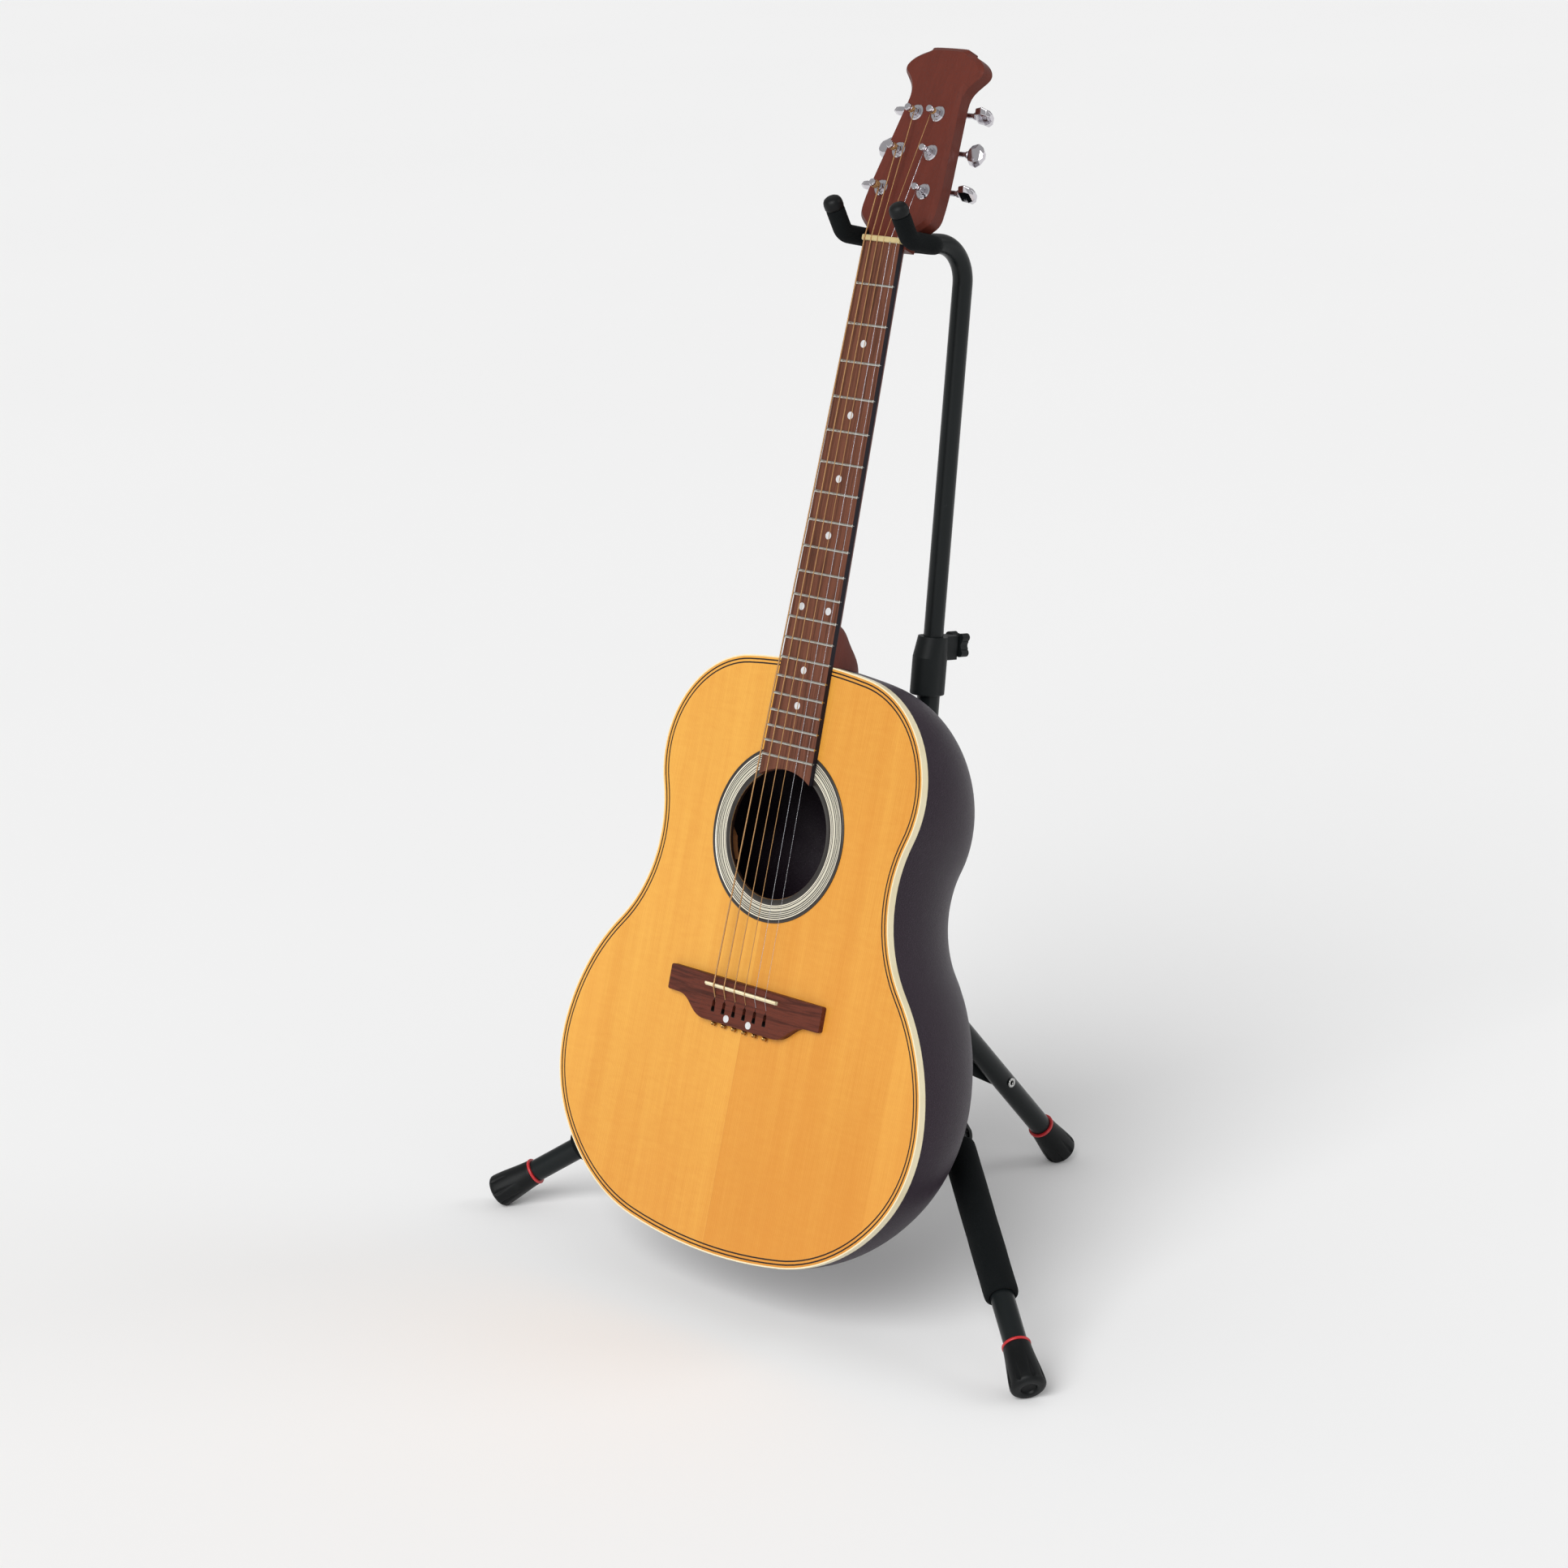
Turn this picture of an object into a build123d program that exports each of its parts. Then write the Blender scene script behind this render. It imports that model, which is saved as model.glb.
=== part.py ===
from build123d import *
import math
import os

# Round-backed acoustic guitar resting on a folding tripod stand, in millimetres.
# The world frame: +X to the player's left (the viewer's right), +Y to the rear, +Z up,
# floor at z = 0, origin at the middle of the footprint.
# The guitar is drawn in a bench frame: X across, Y up the neck, Z out of the soundboard,
# origin at the middle of the nut on the fingerboard's surface.
# The stand is drawn in a mast frame: Z up the mast, Y to the rear, origin on the mast's
# axis where the axes of the legs meet it.

# ---------------------------------------------------------------- placing
GUITAR_LEAN = 17.5
MAST_LEAN = 8.8
HUB_HEIGHT = 244.0
BODY_FORWARD = 113.8
BODY_RISE = 302.3
RUNNING_CLEARANCE = 0.1
SOFT_CLEARANCE = 0.35
FITTED_CLEARANCE = 0.12

# ---------------------------------------------------------------- guitar body
SCALE_LENGTH = 641.0
JOINT_FRET = 14
LAST_FRET = 20
BODY_ARCS = [(490, 10.5), (160, 43.0), (122, 43.2), (182, 34.8), (-122, -62.0), (93, 103.3)]
CLOSING_SWEEP = 7.2
SOUNDBOARD_THICKNESS = 3.0
FINGERBOARD_THICKNESS = 5.2
BINDING_THICKNESS = 1.2
BINDING_HEIGHT = 7.0
PURFLING_INSETS = (2.9, 6.0)
PURFLING_WIDTH = 1.3
PURFLING_DEPTH = 1.0
BOWL_DEPTH = 153.0
BOWL_POWER = 2.25
BOWL_WALL = 2.6
BOWL_DEEPEST = 0.42
BOWL_LEVELS = (0.0, 0.16, 0.34, 0.52, 0.68, 0.81, 0.91, 0.97)
SOUNDHOLE_RADIUS = 55.0
SOUNDHOLE_BEYOND_LAST_FRET = 64.5
ROSETTE_RADII = (55.3, 60.0, 62.4, 64.0, 66.4, 68.0, 70.6, 72.4, 75.4)
ROSETTE_HEIGHTS = (0.5, 0.35, 0.5, 0.35, 0.5, 0.35, 0.5, 1.1)
LINING_WIDTH = 6.0
LINING_HEIGHT = 12.0
BRACE_WIDTH = 8.0
BRACE_DEPTH = 14.0
BRACE_CROSS_BEYOND_HOLE = 84.0
BRACE_SPLAY = 47.0
NECK_BLOCK_WIDTH = 72.0
NECK_BLOCK_LENGTH = 42.0
NECK_BLOCK_DEPTH = 66.0

# ---------------------------------------------------------------- neck
NUT_WIDTH = 43.0
BOARD_WIDTH_AT_NUT = 40.7
WIDTH_TAPER = 0.0411
BOARD_OVERHANG = 10.0
NECK_DEPTH_AT_NUT = 15.2
NECK_DEPTH_AT_HEEL = 17.5
NECK_SHOULDER = (0.74, 0.45)
HEEL_DEPTH = 56.0
HEEL_FLARE = 34.0
HEEL_SHOULDER = (0.73, 0.73)
HEEL_STEPS = [(24.0, 0.37), (17.0, 0.55), (11.0, 0.74), (4.0, 0.91), (-4.0, 1.0), (-18.0, 1.0)]
NUT_LENGTH = 5.0
NUT_RISE = 2.4
TRUSS_ROD_RADIUS = 3.0
FRET_RADIUS = 1.25
FRET_TANG = 0.6
FRET_TANG_DEPTH = 2.0
DOT_RADIUS = 3.2
DOT_DEPTH = 1.2
DOT_FRETS = (3, 5, 7, 9, 15, 17)
DOUBLE_DOT_FRET = 12
DOUBLE_DOT_SPREAD = 15.5

# ---------------------------------------------------------------- headstock
HEAD_ANGLE = 11.5
HEAD_DROP = 3.2
HEAD_THICKNESS = 15.0
HEAD_BEVEL = 3.6
HEAD_TONGUE = 3.0
HEAD_SHOULDER = [(22.0, 5.0), (28.0, 12.2), (37.2, 19.6), (41.5, 30.0)]
HEAD_SIDE = [(41.5, 30.0), (38.8, 62.0), (33.9, 95.0), (29.6, 124.0)]
HEAD_SIDE_SLOPE = 0.148
HEAD_CROWN = [(29.6, 124.0), (30.2, 138.0), (38.0, 148.0), (43.6, 155.5), (36.7, 166.0), (21.0, 173.4), (0.0, 176.0)]
TUNER_ROWS = [(24.0, 47.5), (18.2, 81.8), (12.2, 116.0)]
POST_RADIUS = 3.0
POST_RISE = 12.5
POST_KNOB_RADIUS = 3.3
POST_WAIST_RADIUS = 2.2
BUSHING_RADIUS = 7.0
BUSHING_HEIGHT = 1.4
BUSHING_COLLAR_RADIUS = 4.6
BUSHING_COLLAR_HEIGHT = 3.4
GEAR_RADIUS = 5.4
GEAR_THICKNESS = 3.6
WORM_RADIUS = 2.1
TUNER_SHAFT_RADIUS = 2.4
CASE_WIDTH = 15.0
CASE_HEIGHT = 9.4
CASE_WALL = 1.3
CASE_ABOVE = 11.6
CASE_BELOW = 7.6
BUTTON_LENGTH = 17.0
BUTTON_WIDTH = 20.0
BUTTON_THICKNESS = 7.6
BUTTON_BEYOND_EDGE = 6.0
TUNER_TURNS = {"bass_1": 70, "bass_2": 5, "bass_3": 65, "treble_1": 62, "treble_2": 12, "treble_3": 58}

# ---------------------------------------------------------------- bridge and strings
BRIDGE_HALF = 90.0
BRIDGE_ABOVE_SADDLE = 7.5
BRIDGE_END_DEPTH = 22.0
BRIDGE_MIDDLE_DEPTH = 38.0
BRIDGE_SHOULDERS = (40.0, 76.0)
BRIDGE_HEIGHT = 8.0
BRIDGE_WING_HEIGHT = 5.0
SADDLE_LENGTH = 84.0
SADDLE_WIDTH = 3.0
SADDLE_RISE = 3.4
SADDLE_DEPTH = 4.0
STRING_SPREAD_NUT = 36.5
STRING_SPREAD_SADDLE = 61.0
STRING_OVER_BOARD = 1.9
STRING_BEND_SWELL = 1.08
WOUND_GAUGES = (1.35, 1.07, 0.82, 0.62)
PLAIN_GAUGES = (0.41, 0.30)
STRING_SLOT_BELOW_SADDLE = 17.0
STRING_POSTS = (("bass", 0), ("bass", 1), ("bass", 2), ("treble", 2), ("treble", 1), ("treble", 0))
STRAP_BUTTON_RADIUS = 6.5
STRAP_BUTTON_LENGTH = 12.0
STRAP_BUTTON_DROP = 38.0

# ---------------------------------------------------------------- mast and yoke
LOWER_TUBE_RADIUS = 10.0
TUBE_WALL = 1.2
LOWER_TUBE_BELOW = 104.0
CLAMP_BOTTOM = 244.0
CLAMP_LENGTH = 51.0
CLAMP_RADIUS = 13.6
CLAMP_BULGE = 4.6
CLAMP_TAPER = 18.0
CLAMP_NECK_RADIUS = 12.8
CLAMP_SEAT = 28.0
CLAMP_EAR_WIDTH = 13.0
CLAMP_EAR_REACH = 27.0
CLAMP_EAR_HEIGHT = 21.0
SCREW_RADIUS = 3.0
KNOB_RADIUS = 9.6
KNOB_LOBE_RADIUS = 3.6
KNOB_LOBES = 4
KNOB_THICKNESS = 10.0
UPPER_TUBE_OVERLAP = 150.0
MAST_BEND_RADIUS = 34.0
YOKE_ABOVE_NUT = 0.3
YOKE_SETBACK = 3.3
YOKE_ROD_RADIUS = 4.0
YOKE_FOAM_RADIUS = 8.0
YOKE_GAP_RADIUS = 14.0
YOKE_HALF_SPREAD = 37.5
YOKE_TIP_RISE = 21.0
YOKE_TIP_REACH = 14.0
YOKE_PRONG_LENGTH = 39.0
YOKE_PRONG_RISE = 4.0
YOKE_TIP_RADIUS = 13.0
HEADPIECE_HALF = 9.0
HEADPIECE_RECESS = 2.6
TIP_CAP_RADIUS = 8.3
TIP_CAP_LENGTH = 10.0

# ---------------------------------------------------------------- tripod
LEG_RADIUS = 10.0
PIVOT_RADIUS = 26.0
PIVOT_BELOW = 20.0
FRONT_AZIMUTH = 61.9
FRONT_SPREAD = 54.6
REAR_SPREAD = 49.4
HUB_RADIUS = 15.0
HUB_UP = 15.0
HUB_DOWN = 9.0
EAR_THICKNESS = 3.2
EAR_RADIUS = 9.0
EAR_GAP = 0.3
PIN_RADIUS = 3.0
RIVET_FROM_PIVOT = 157.0
RIVET_RADIUS = 3.2
RIVET_BORE_RADIUS = 1.9
RIVET_FLANGE_RADIUS = 4.3
RIVET_FLANGE = 0.9
BRACE_STRAP_THICKNESS = 2.5
BRACE_STRAP_RADIUS = 6.5
BRACE_SLOT_TRAVEL = 9.5
BRACE_SLOT_PLAY = 1.6
RUNNER_BELOW_PIVOTS = 50.0
RUNNER_RADIUS = 13.6
RUNNER_HEIGHT = 15.0
RUNNER_PIVOT_RADIUS = 22.0
RUNNER_LUG_THICKNESS = 3.4
RUNNER_LUG_ROOT = 5.5
RUNNER_PIN_RADIUS = 2.5
RUNNER_KNOB_AZIMUTH = 132.0
RUNNER_BOSS_RADIUS = 4.8
RUNNER_BOSS_REACH = 13.0
LEG_FOAM_RADIUS = 14.7
LEG_FOAM_BEYOND_RIVET = 10.0
LEG_FOAM_LENGTH = 159.0
FOOT_LENGTH = 42.0
FOOT_TOP_RADIUS = 11.8
FOOT_END_RADIUS = 15.4
FOOT_ROUNDING = 4.0
FOOT_RING_RADIUS = 12.3
FOOT_RING_WIDTH = 2.6
FOOT_END_WALL = 5.0
FOOT_RECESS_RADIUS = 7.0
FOOT_RECESS_DEPTH = 3.0
FOOT_TRIM = 0.4

# ---------------------------------------------------------------- worked out
TOP_Z = -FINGERBOARD_THICKNESS
LEGS = {"right": FRONT_AZIMUTH, "left": -FRONT_AZIMUTH, "rear": 180.0}


def fret_y(number):
    """Place of a fret along the bench Y axis."""
    return -SCALE_LENGTH * (1 - 2 ** (-number / 12))


JOINT_Y = fret_y(JOINT_FRET)
BOARD_END_Y = fret_y(LAST_FRET) - BOARD_OVERHANG
HOLE_Y = fret_y(LAST_FRET) - SOUNDHOLE_BEYOND_LAST_FRET


def board_half_width(y):
    return (BOARD_WIDTH_AT_NUT - WIDTH_TAPER * y) / 2


def arc_chain(inset=0.0, scale=1.0):
    """Start, middle and end of each tangent arc of the body's right half, tail at (0, 0)."""
    x = 0.0
    y = inset * scale
    heading = 0.0
    arcs = []
    sweeps = BODY_ARCS + [(None, CLOSING_SWEEP)]
    for radius, sweep in sweeps:
        turn = math.radians(sweep)
        if radius is None:
            turn = math.pi - heading
            reach = x / math.sin(turn)
        else:
            reach = abs(radius - inset) * scale
        side = math.copysign(1.0, turn)
        points = []
        for part in (0.0, 0.5, 1.0):
            angle = heading + part * turn
            px = x + side * reach * (math.sin(angle) - math.sin(heading))
            py = y + side * reach * (math.cos(heading) - math.cos(angle))
            points.append((px, py))
        arcs.append(points)
        x, y = points[2]
        heading += turn
    return arcs


BODY_LENGTH = arc_chain()[-1][2][1]
TAIL_Y = JOINT_Y - BODY_LENGTH
BOWL_CENTRE_Y = JOINT_Y - BODY_LENGTH * BOWL_DEEPEST


def body_face(z, inset=0.0, scale=1.0):
    """The body's outline at a height, drawn inwards by inset and shrunk about the bowl's deepest place."""
    edges = []
    lift = BOWL_CENTRE_Y + (TAIL_Y - BOWL_CENTRE_Y) * scale
    for side in (1, -1):
        for arc in arc_chain(inset, scale):
            edges.append(ThreePointArc(*[(side * px, py + lift, z) for px, py in arc]))
    return make_face(Wire(edges))


def slab(z, height, inset=0.0):
    return extrude(body_face(z, inset), amount=height, dir=(0, 0, 1))


def bowl_solid(top, depth, inset):
    """Rounded back: outlines that shrink with depth by a superellipse, joined by a loft."""
    sections = []
    for level in BOWL_LEVELS:
        shrink = (1 - level ** BOWL_POWER) ** (1 / BOWL_POWER)
        sections.append(body_face(top - depth * level, inset, shrink))
    return loft(sections)


def cylinder_between(start, end, radius):
    axis = Vector(*end) - Vector(*start)
    plane = Plane(origin=start, z_dir=axis)
    return extrude(plane * Circle(radius), amount=axis.length)


def y_cylinder(radius, length, x, y, z):
    """Cylinder along Y that starts at y."""
    return Location((x, y, z), (-90, 0, 0)) * Cylinder(radius, length, align=(Align.CENTER, Align.CENTER, Align.MIN))


def block(x0, x1, y0, y1, z0, z1):
    return Location(((x0 + x1) / 2, (y0 + y1) / 2, (z0 + z1) / 2)) * Box(x1 - x0, y1 - y0, z1 - z0)


def disc(radius, height, x, y, z):
    return Location((x, y, z)) * Cylinder(radius, height, align=(Align.CENTER, Align.CENTER, Align.MIN))


# ================================================================ guitar body
BINDING_BOTTOM = TOP_Z - BINDING_HEIGHT
BOARD_BOTTOM = TOP_Z - SOUNDBOARD_THICKNESS
RIM_INSET = BINDING_THICKNESS + BOWL_WALL


def make_body():
    nodes = {}
    outer = bowl_solid(BINDING_BOTTOM, BOWL_DEPTH, 0.0)
    inner = bowl_solid(BINDING_BOTTOM, BOWL_DEPTH - BOWL_WALL, BOWL_WALL)
    cavity = inner + slab(BINDING_BOTTOM, BOARD_BOTTOM - BINDING_BOTTOM, RIM_INSET)
    bowl = outer + slab(BINDING_BOTTOM, BOARD_BOTTOM - BINDING_BOTTOM, BINDING_THICKNESS) - cavity
    nodes["bowl_shell"] = bowl

    nodes["top_binding"] = slab(BINDING_BOTTOM, BINDING_HEIGHT) - slab(BINDING_BOTTOM, BINDING_HEIGHT, BINDING_THICKNESS)

    board = slab(BOARD_BOTTOM, SOUNDBOARD_THICKNESS, BINDING_THICKNESS)
    board -= disc(SOUNDHOLE_RADIUS, SOUNDBOARD_THICKNESS, 0, HOLE_Y, BOARD_BOTTOM)
    rings = []
    for inset in PURFLING_INSETS:
        ring = slab(TOP_Z - PURFLING_DEPTH, PURFLING_DEPTH, inset)
        ring -= slab(TOP_Z - PURFLING_DEPTH, PURFLING_DEPTH, inset + PURFLING_WIDTH)
        rings.append(ring)
        board -= ring
    nodes["soundboard"] = board
    nodes["purfling_lines"] = Compound(children=rings)

    bands = []
    for low, high, rise in zip(ROSETTE_RADII, ROSETTE_RADII[1:], ROSETTE_HEIGHTS):
        band = disc(high, rise, 0, HOLE_Y, TOP_Z) - disc(low, rise, 0, HOLE_Y, TOP_Z)
        band -= block(-NUT_WIDTH, NUT_WIDTH, BOARD_END_Y, JOINT_Y, TOP_Z, 0)
        bands.extend(band.solids())
    nodes["rosette_rings"] = Compound(children=bands)

    lining = slab(BOARD_BOTTOM - LINING_HEIGHT, LINING_HEIGHT, RIM_INSET)
    lining -= slab(BOARD_BOTTOM - LINING_HEIGHT, LINING_HEIGHT, RIM_INSET + LINING_WIDTH)

    block_box = block(-NECK_BLOCK_WIDTH / 2, NECK_BLOCK_WIDTH / 2, JOINT_Y - NECK_BLOCK_LENGTH, JOINT_Y,
                      BOARD_BOTTOM - NECK_BLOCK_DEPTH, BOARD_BOTTOM)
    inside = bowl_solid(BINDING_BOTTOM, BOWL_DEPTH - BOWL_WALL - FITTED_CLEARANCE, BOWL_WALL + FITTED_CLEARANCE)
    inside += slab(BINDING_BOTTOM, BOARD_BOTTOM - BINDING_BOTTOM, RIM_INSET + FITTED_CLEARANCE)
    nodes["neck_block"] = block_box & inside
    nodes["rim_lining"] = (lining & inside) - block_box

    keep = slab(BOARD_BOTTOM - BRACE_DEPTH, BRACE_DEPTH, RIM_INSET + LINING_WIDTH + FITTED_CLEARANCE) & inside
    cross_y = HOLE_Y - BRACE_CROSS_BEYOND_HOLE
    reach = BODY_LENGTH
    arms = None
    for side in (1, -1):
        arm = Location((0, cross_y, BOARD_BOTTOM - BRACE_DEPTH / 2), (0, 0, side * BRACE_SPLAY))
        arm = arm * Box(reach, BRACE_WIDTH, BRACE_DEPTH)
        arms = arm if arms is None else arms + arm
    upper_y = HOLE_Y + SOUNDHOLE_RADIUS + BRACE_WIDTH
    upper = block(-reach / 2, reach / 2, upper_y, upper_y + BRACE_WIDTH, BOARD_BOTTOM - BRACE_DEPTH, BOARD_BOTTOM)
    arms = arms - block(-reach, reach, HOLE_Y, reach, BOARD_BOTTOM - BRACE_DEPTH, BOARD_BOTTOM)
    hole_guard = disc(SOUNDHOLE_RADIUS + BRACE_WIDTH, BRACE_DEPTH, 0, HOLE_Y, BOARD_BOTTOM - BRACE_DEPTH)
    arms = (arms & keep) - hole_guard
    upper = upper & keep
    plate_y = -SCALE_LENGTH - BRIDGE_MIDDLE_DEPTH / 2 + BRIDGE_ABOVE_SADDLE
    plate_half = BRIDGE_HALF * 0.8
    plate = block(-plate_half, plate_half, plate_y - BRIDGE_MIDDLE_DEPTH * 0.6, plate_y + BRIDGE_MIDDLE_DEPTH * 0.6,
                  BOARD_BOTTOM - SOUNDBOARD_THICKNESS, BOARD_BOTTOM)
    plate -= arms
    braces = arms.solids() + upper.solids() + plate.solids()
    nodes["soundboard_braces"] = Compound(children=braces)
    cutter = bowl_solid(BINDING_BOTTOM, BOWL_DEPTH + FITTED_CLEARANCE, -FITTED_CLEARANCE)
    return nodes, cutter + slab(BINDING_BOTTOM, BINDING_HEIGHT, -FITTED_CLEARANCE)


# ================================================================ neck and headstock
HEAD_FRAME = Location((0, 0, -HEAD_DROP), (-HEAD_ANGLE, 0, 0))


def head_point(across, along, rise):
    return (HEAD_FRAME * Location((across, along, rise))).position


def neck_section(y, depth, half, shoulder=NECK_SHOULDER, slant=0.5):
    """Rounded V hanging under the fingerboard, with its shoulder given as shares of half and depth."""
    out = half * shoulder[0]
    down = depth * shoulder[1]
    flat = Line((half, 0), (-half, 0))
    curve = Spline((-half, 0), (-out, -down), (0, -depth), (out, -down), (half, 0),
                   tangents=[(slant, -1), (slant, 1)])
    return Plane(origin=(0, y, TOP_Z), x_dir=(1, 0, 0), z_dir=(0, -1, 0)) * make_face(Wire([flat, curve]))


def moved_in(points, inset):
    """The points of a line moved to its left by inset."""
    moved = []
    for before, here, after in zip([points[0]] + points, points, points[1:] + [points[-1]]):
        dx = after[0] - before[0]
        dy = after[1] - before[1]
        length = math.hypot(dx, dy)
        moved.append((here[0] - inset * dy / length, here[1] + inset * dx / length))
    return moved


def head_outline(z, inset=0.0):
    """The headstock seen from the front: rounded shoulders, a pinched crown with ears and a round top."""
    base = HEAD_SHOULDER[0]
    crown = moved_in(HEAD_CROWN, inset)
    shoulder = moved_in(HEAD_SHOULDER, inset)
    shoulder[0] = (base[0] - inset, base[1])
    side = moved_in(HEAD_SIDE, inset)
    side[0] = shoulder[-1]
    crown[0] = side[-1]
    crown[-1] = (0.0, HEAD_CROWN[-1][1] - inset)
    edges = [Line((-shoulder[0][0], -HEAD_TONGUE), (shoulder[0][0], -HEAD_TONGUE))]
    for sign in (1, -1):
        edges.append(Line((sign * shoulder[0][0], -HEAD_TONGUE), (sign * shoulder[0][0], base[1])))
        runs = [(shoulder, (0.5, 1), (0, 1)), (side, (0, 1), (-HEAD_SIDE_SLOPE, 1)),
                (crown, (-HEAD_SIDE_SLOPE, 1), (-1, 0))]
        for points, start, end in runs:
            mirrored = [(sign * x, y) for x, y in points]
            edges.append(Spline(*mirrored, tangents=[(sign * start[0], start[1]), (sign * end[0], end[1])]))
    return Location((0, 0, z)) * make_face(Wire([edge for line in edges for edge in line.edges()]))


def tuner_places():
    """Name, side, across and along for each tuner, from the nut up."""
    places = []
    for row, (across, along) in enumerate(TUNER_ROWS, start=1):
        for side, name in ((-1, "bass"), (1, "treble")):
            places.append((f"{name}_{row}", side, side * across, along))
    return places


def make_neck(body_outer):
    nodes = {}
    heel_start = JOINT_Y + HEEL_FLARE
    flare = neck_section(heel_start, NECK_DEPTH_AT_HEEL, board_half_width(heel_start))
    shaft = loft([neck_section(8.0, NECK_DEPTH_AT_NUT, board_half_width(0)), flare])
    steps = [flare]
    for above, share in HEEL_STEPS:
        half = board_half_width(JOINT_Y + max(above, 0.0))
        steps.append(neck_section(JOINT_Y + above, HEEL_DEPTH * share, half, HEEL_SHOULDER, 0.0))
    heel = loft(steps)
    head = extrude(head_outline(-HEAD_THICKNESS), amount=HEAD_THICKNESS - HEAD_BEVEL, dir=(0, 0, 1))
    head += loft([head_outline(-HEAD_BEVEL), head_outline(0, HEAD_BEVEL)], ruled=True)
    head = HEAD_FRAME * head
    neck = shaft + heel + head
    neck -= body_outer
    neck -= block(-NUT_WIDTH, NUT_WIDTH, 0, NUT_LENGTH, TOP_Z, 20)
    neck -= block(-NUT_WIDTH, NUT_WIDTH, JOINT_Y * 2, 0, TOP_Z, 20)
    rod_z = TOP_Z - TRUSS_ROD_RADIUS - 1.5
    rod_length = -JOINT_Y - 24.0
    rod = y_cylinder(TRUSS_ROD_RADIUS, rod_length, 0, -10.0 - rod_length, rod_z)
    channel = block(-TRUSS_ROD_RADIUS, TRUSS_ROD_RADIUS, -10.0 - rod_length, -10.0, rod_z, TOP_Z)
    neck -= rod + channel
    for _, side, across, along in tuner_places():
        neck -= HEAD_FRAME * disc(POST_RADIUS + 1.2, HEAD_THICKNESS, across, along, -HEAD_THICKNESS)
    nodes["neck"] = neck
    nodes["truss_rod"] = rod

    near = board_half_width(0)
    far = board_half_width(BOARD_END_Y)
    board = extrude(make_face(Polyline((-near, 0), (-far, BOARD_END_Y), (far, BOARD_END_Y), (near, 0), close=True)),
                    amount=TOP_Z)
    board -= disc(SOUNDHOLE_RADIUS, FINGERBOARD_THICKNESS * 2, 0, HOLE_Y, TOP_Z * 1.5)
    frets = []
    for number in range(1, LAST_FRET + 1):
        y = fret_y(number)
        half = board_half_width(y)
        crown = Location((-half, y, 0), (0, 90, 0)) * Cylinder(FRET_RADIUS, 2 * half,
                                                                align=(Align.CENTER, Align.CENTER, Align.MIN))
        crown -= block(-half, half, y - 3, y + 3, -3, 0)
        tang = block(-half, half, y - FRET_TANG / 2, y + FRET_TANG / 2, -FRET_TANG_DEPTH, 0)
        board -= tang
        frets.append((crown + tang).solid())
    dots = []
    spots = [(0, number) for number in DOT_FRETS]
    spots += [(-DOUBLE_DOT_SPREAD, DOUBLE_DOT_FRET), (DOUBLE_DOT_SPREAD, DOUBLE_DOT_FRET)]
    for x, number in spots:
        y = (fret_y(number) + fret_y(number - 1)) / 2
        dot = disc(DOT_RADIUS, DOT_DEPTH, x, y, -DOT_DEPTH)
        board -= dot
        dots.append(dot.solid())
    nodes["fingerboard"] = board
    nodes["frets"] = Compound(children=frets)
    nodes["position_dots"] = Compound(children=dots)

    nut = block(-NUT_WIDTH / 2, NUT_WIDTH / 2, 0, NUT_LENGTH, TOP_Z, NUT_RISE)
    nut = fillet(nut.edges().filter_by(Axis.X).sort_by(Axis.Z)[-2:], NUT_RISE * 0.6)
    nodes["nut"] = nut
    return nodes


def string_list(spread):
    """Across position and gauge of each string, bass side first."""
    gauges = WOUND_GAUGES + PLAIN_GAUGES
    step = spread / (len(gauges) - 1)
    return [(-spread / 2 + step * index, gauge) for index, gauge in enumerate(gauges)]


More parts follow.
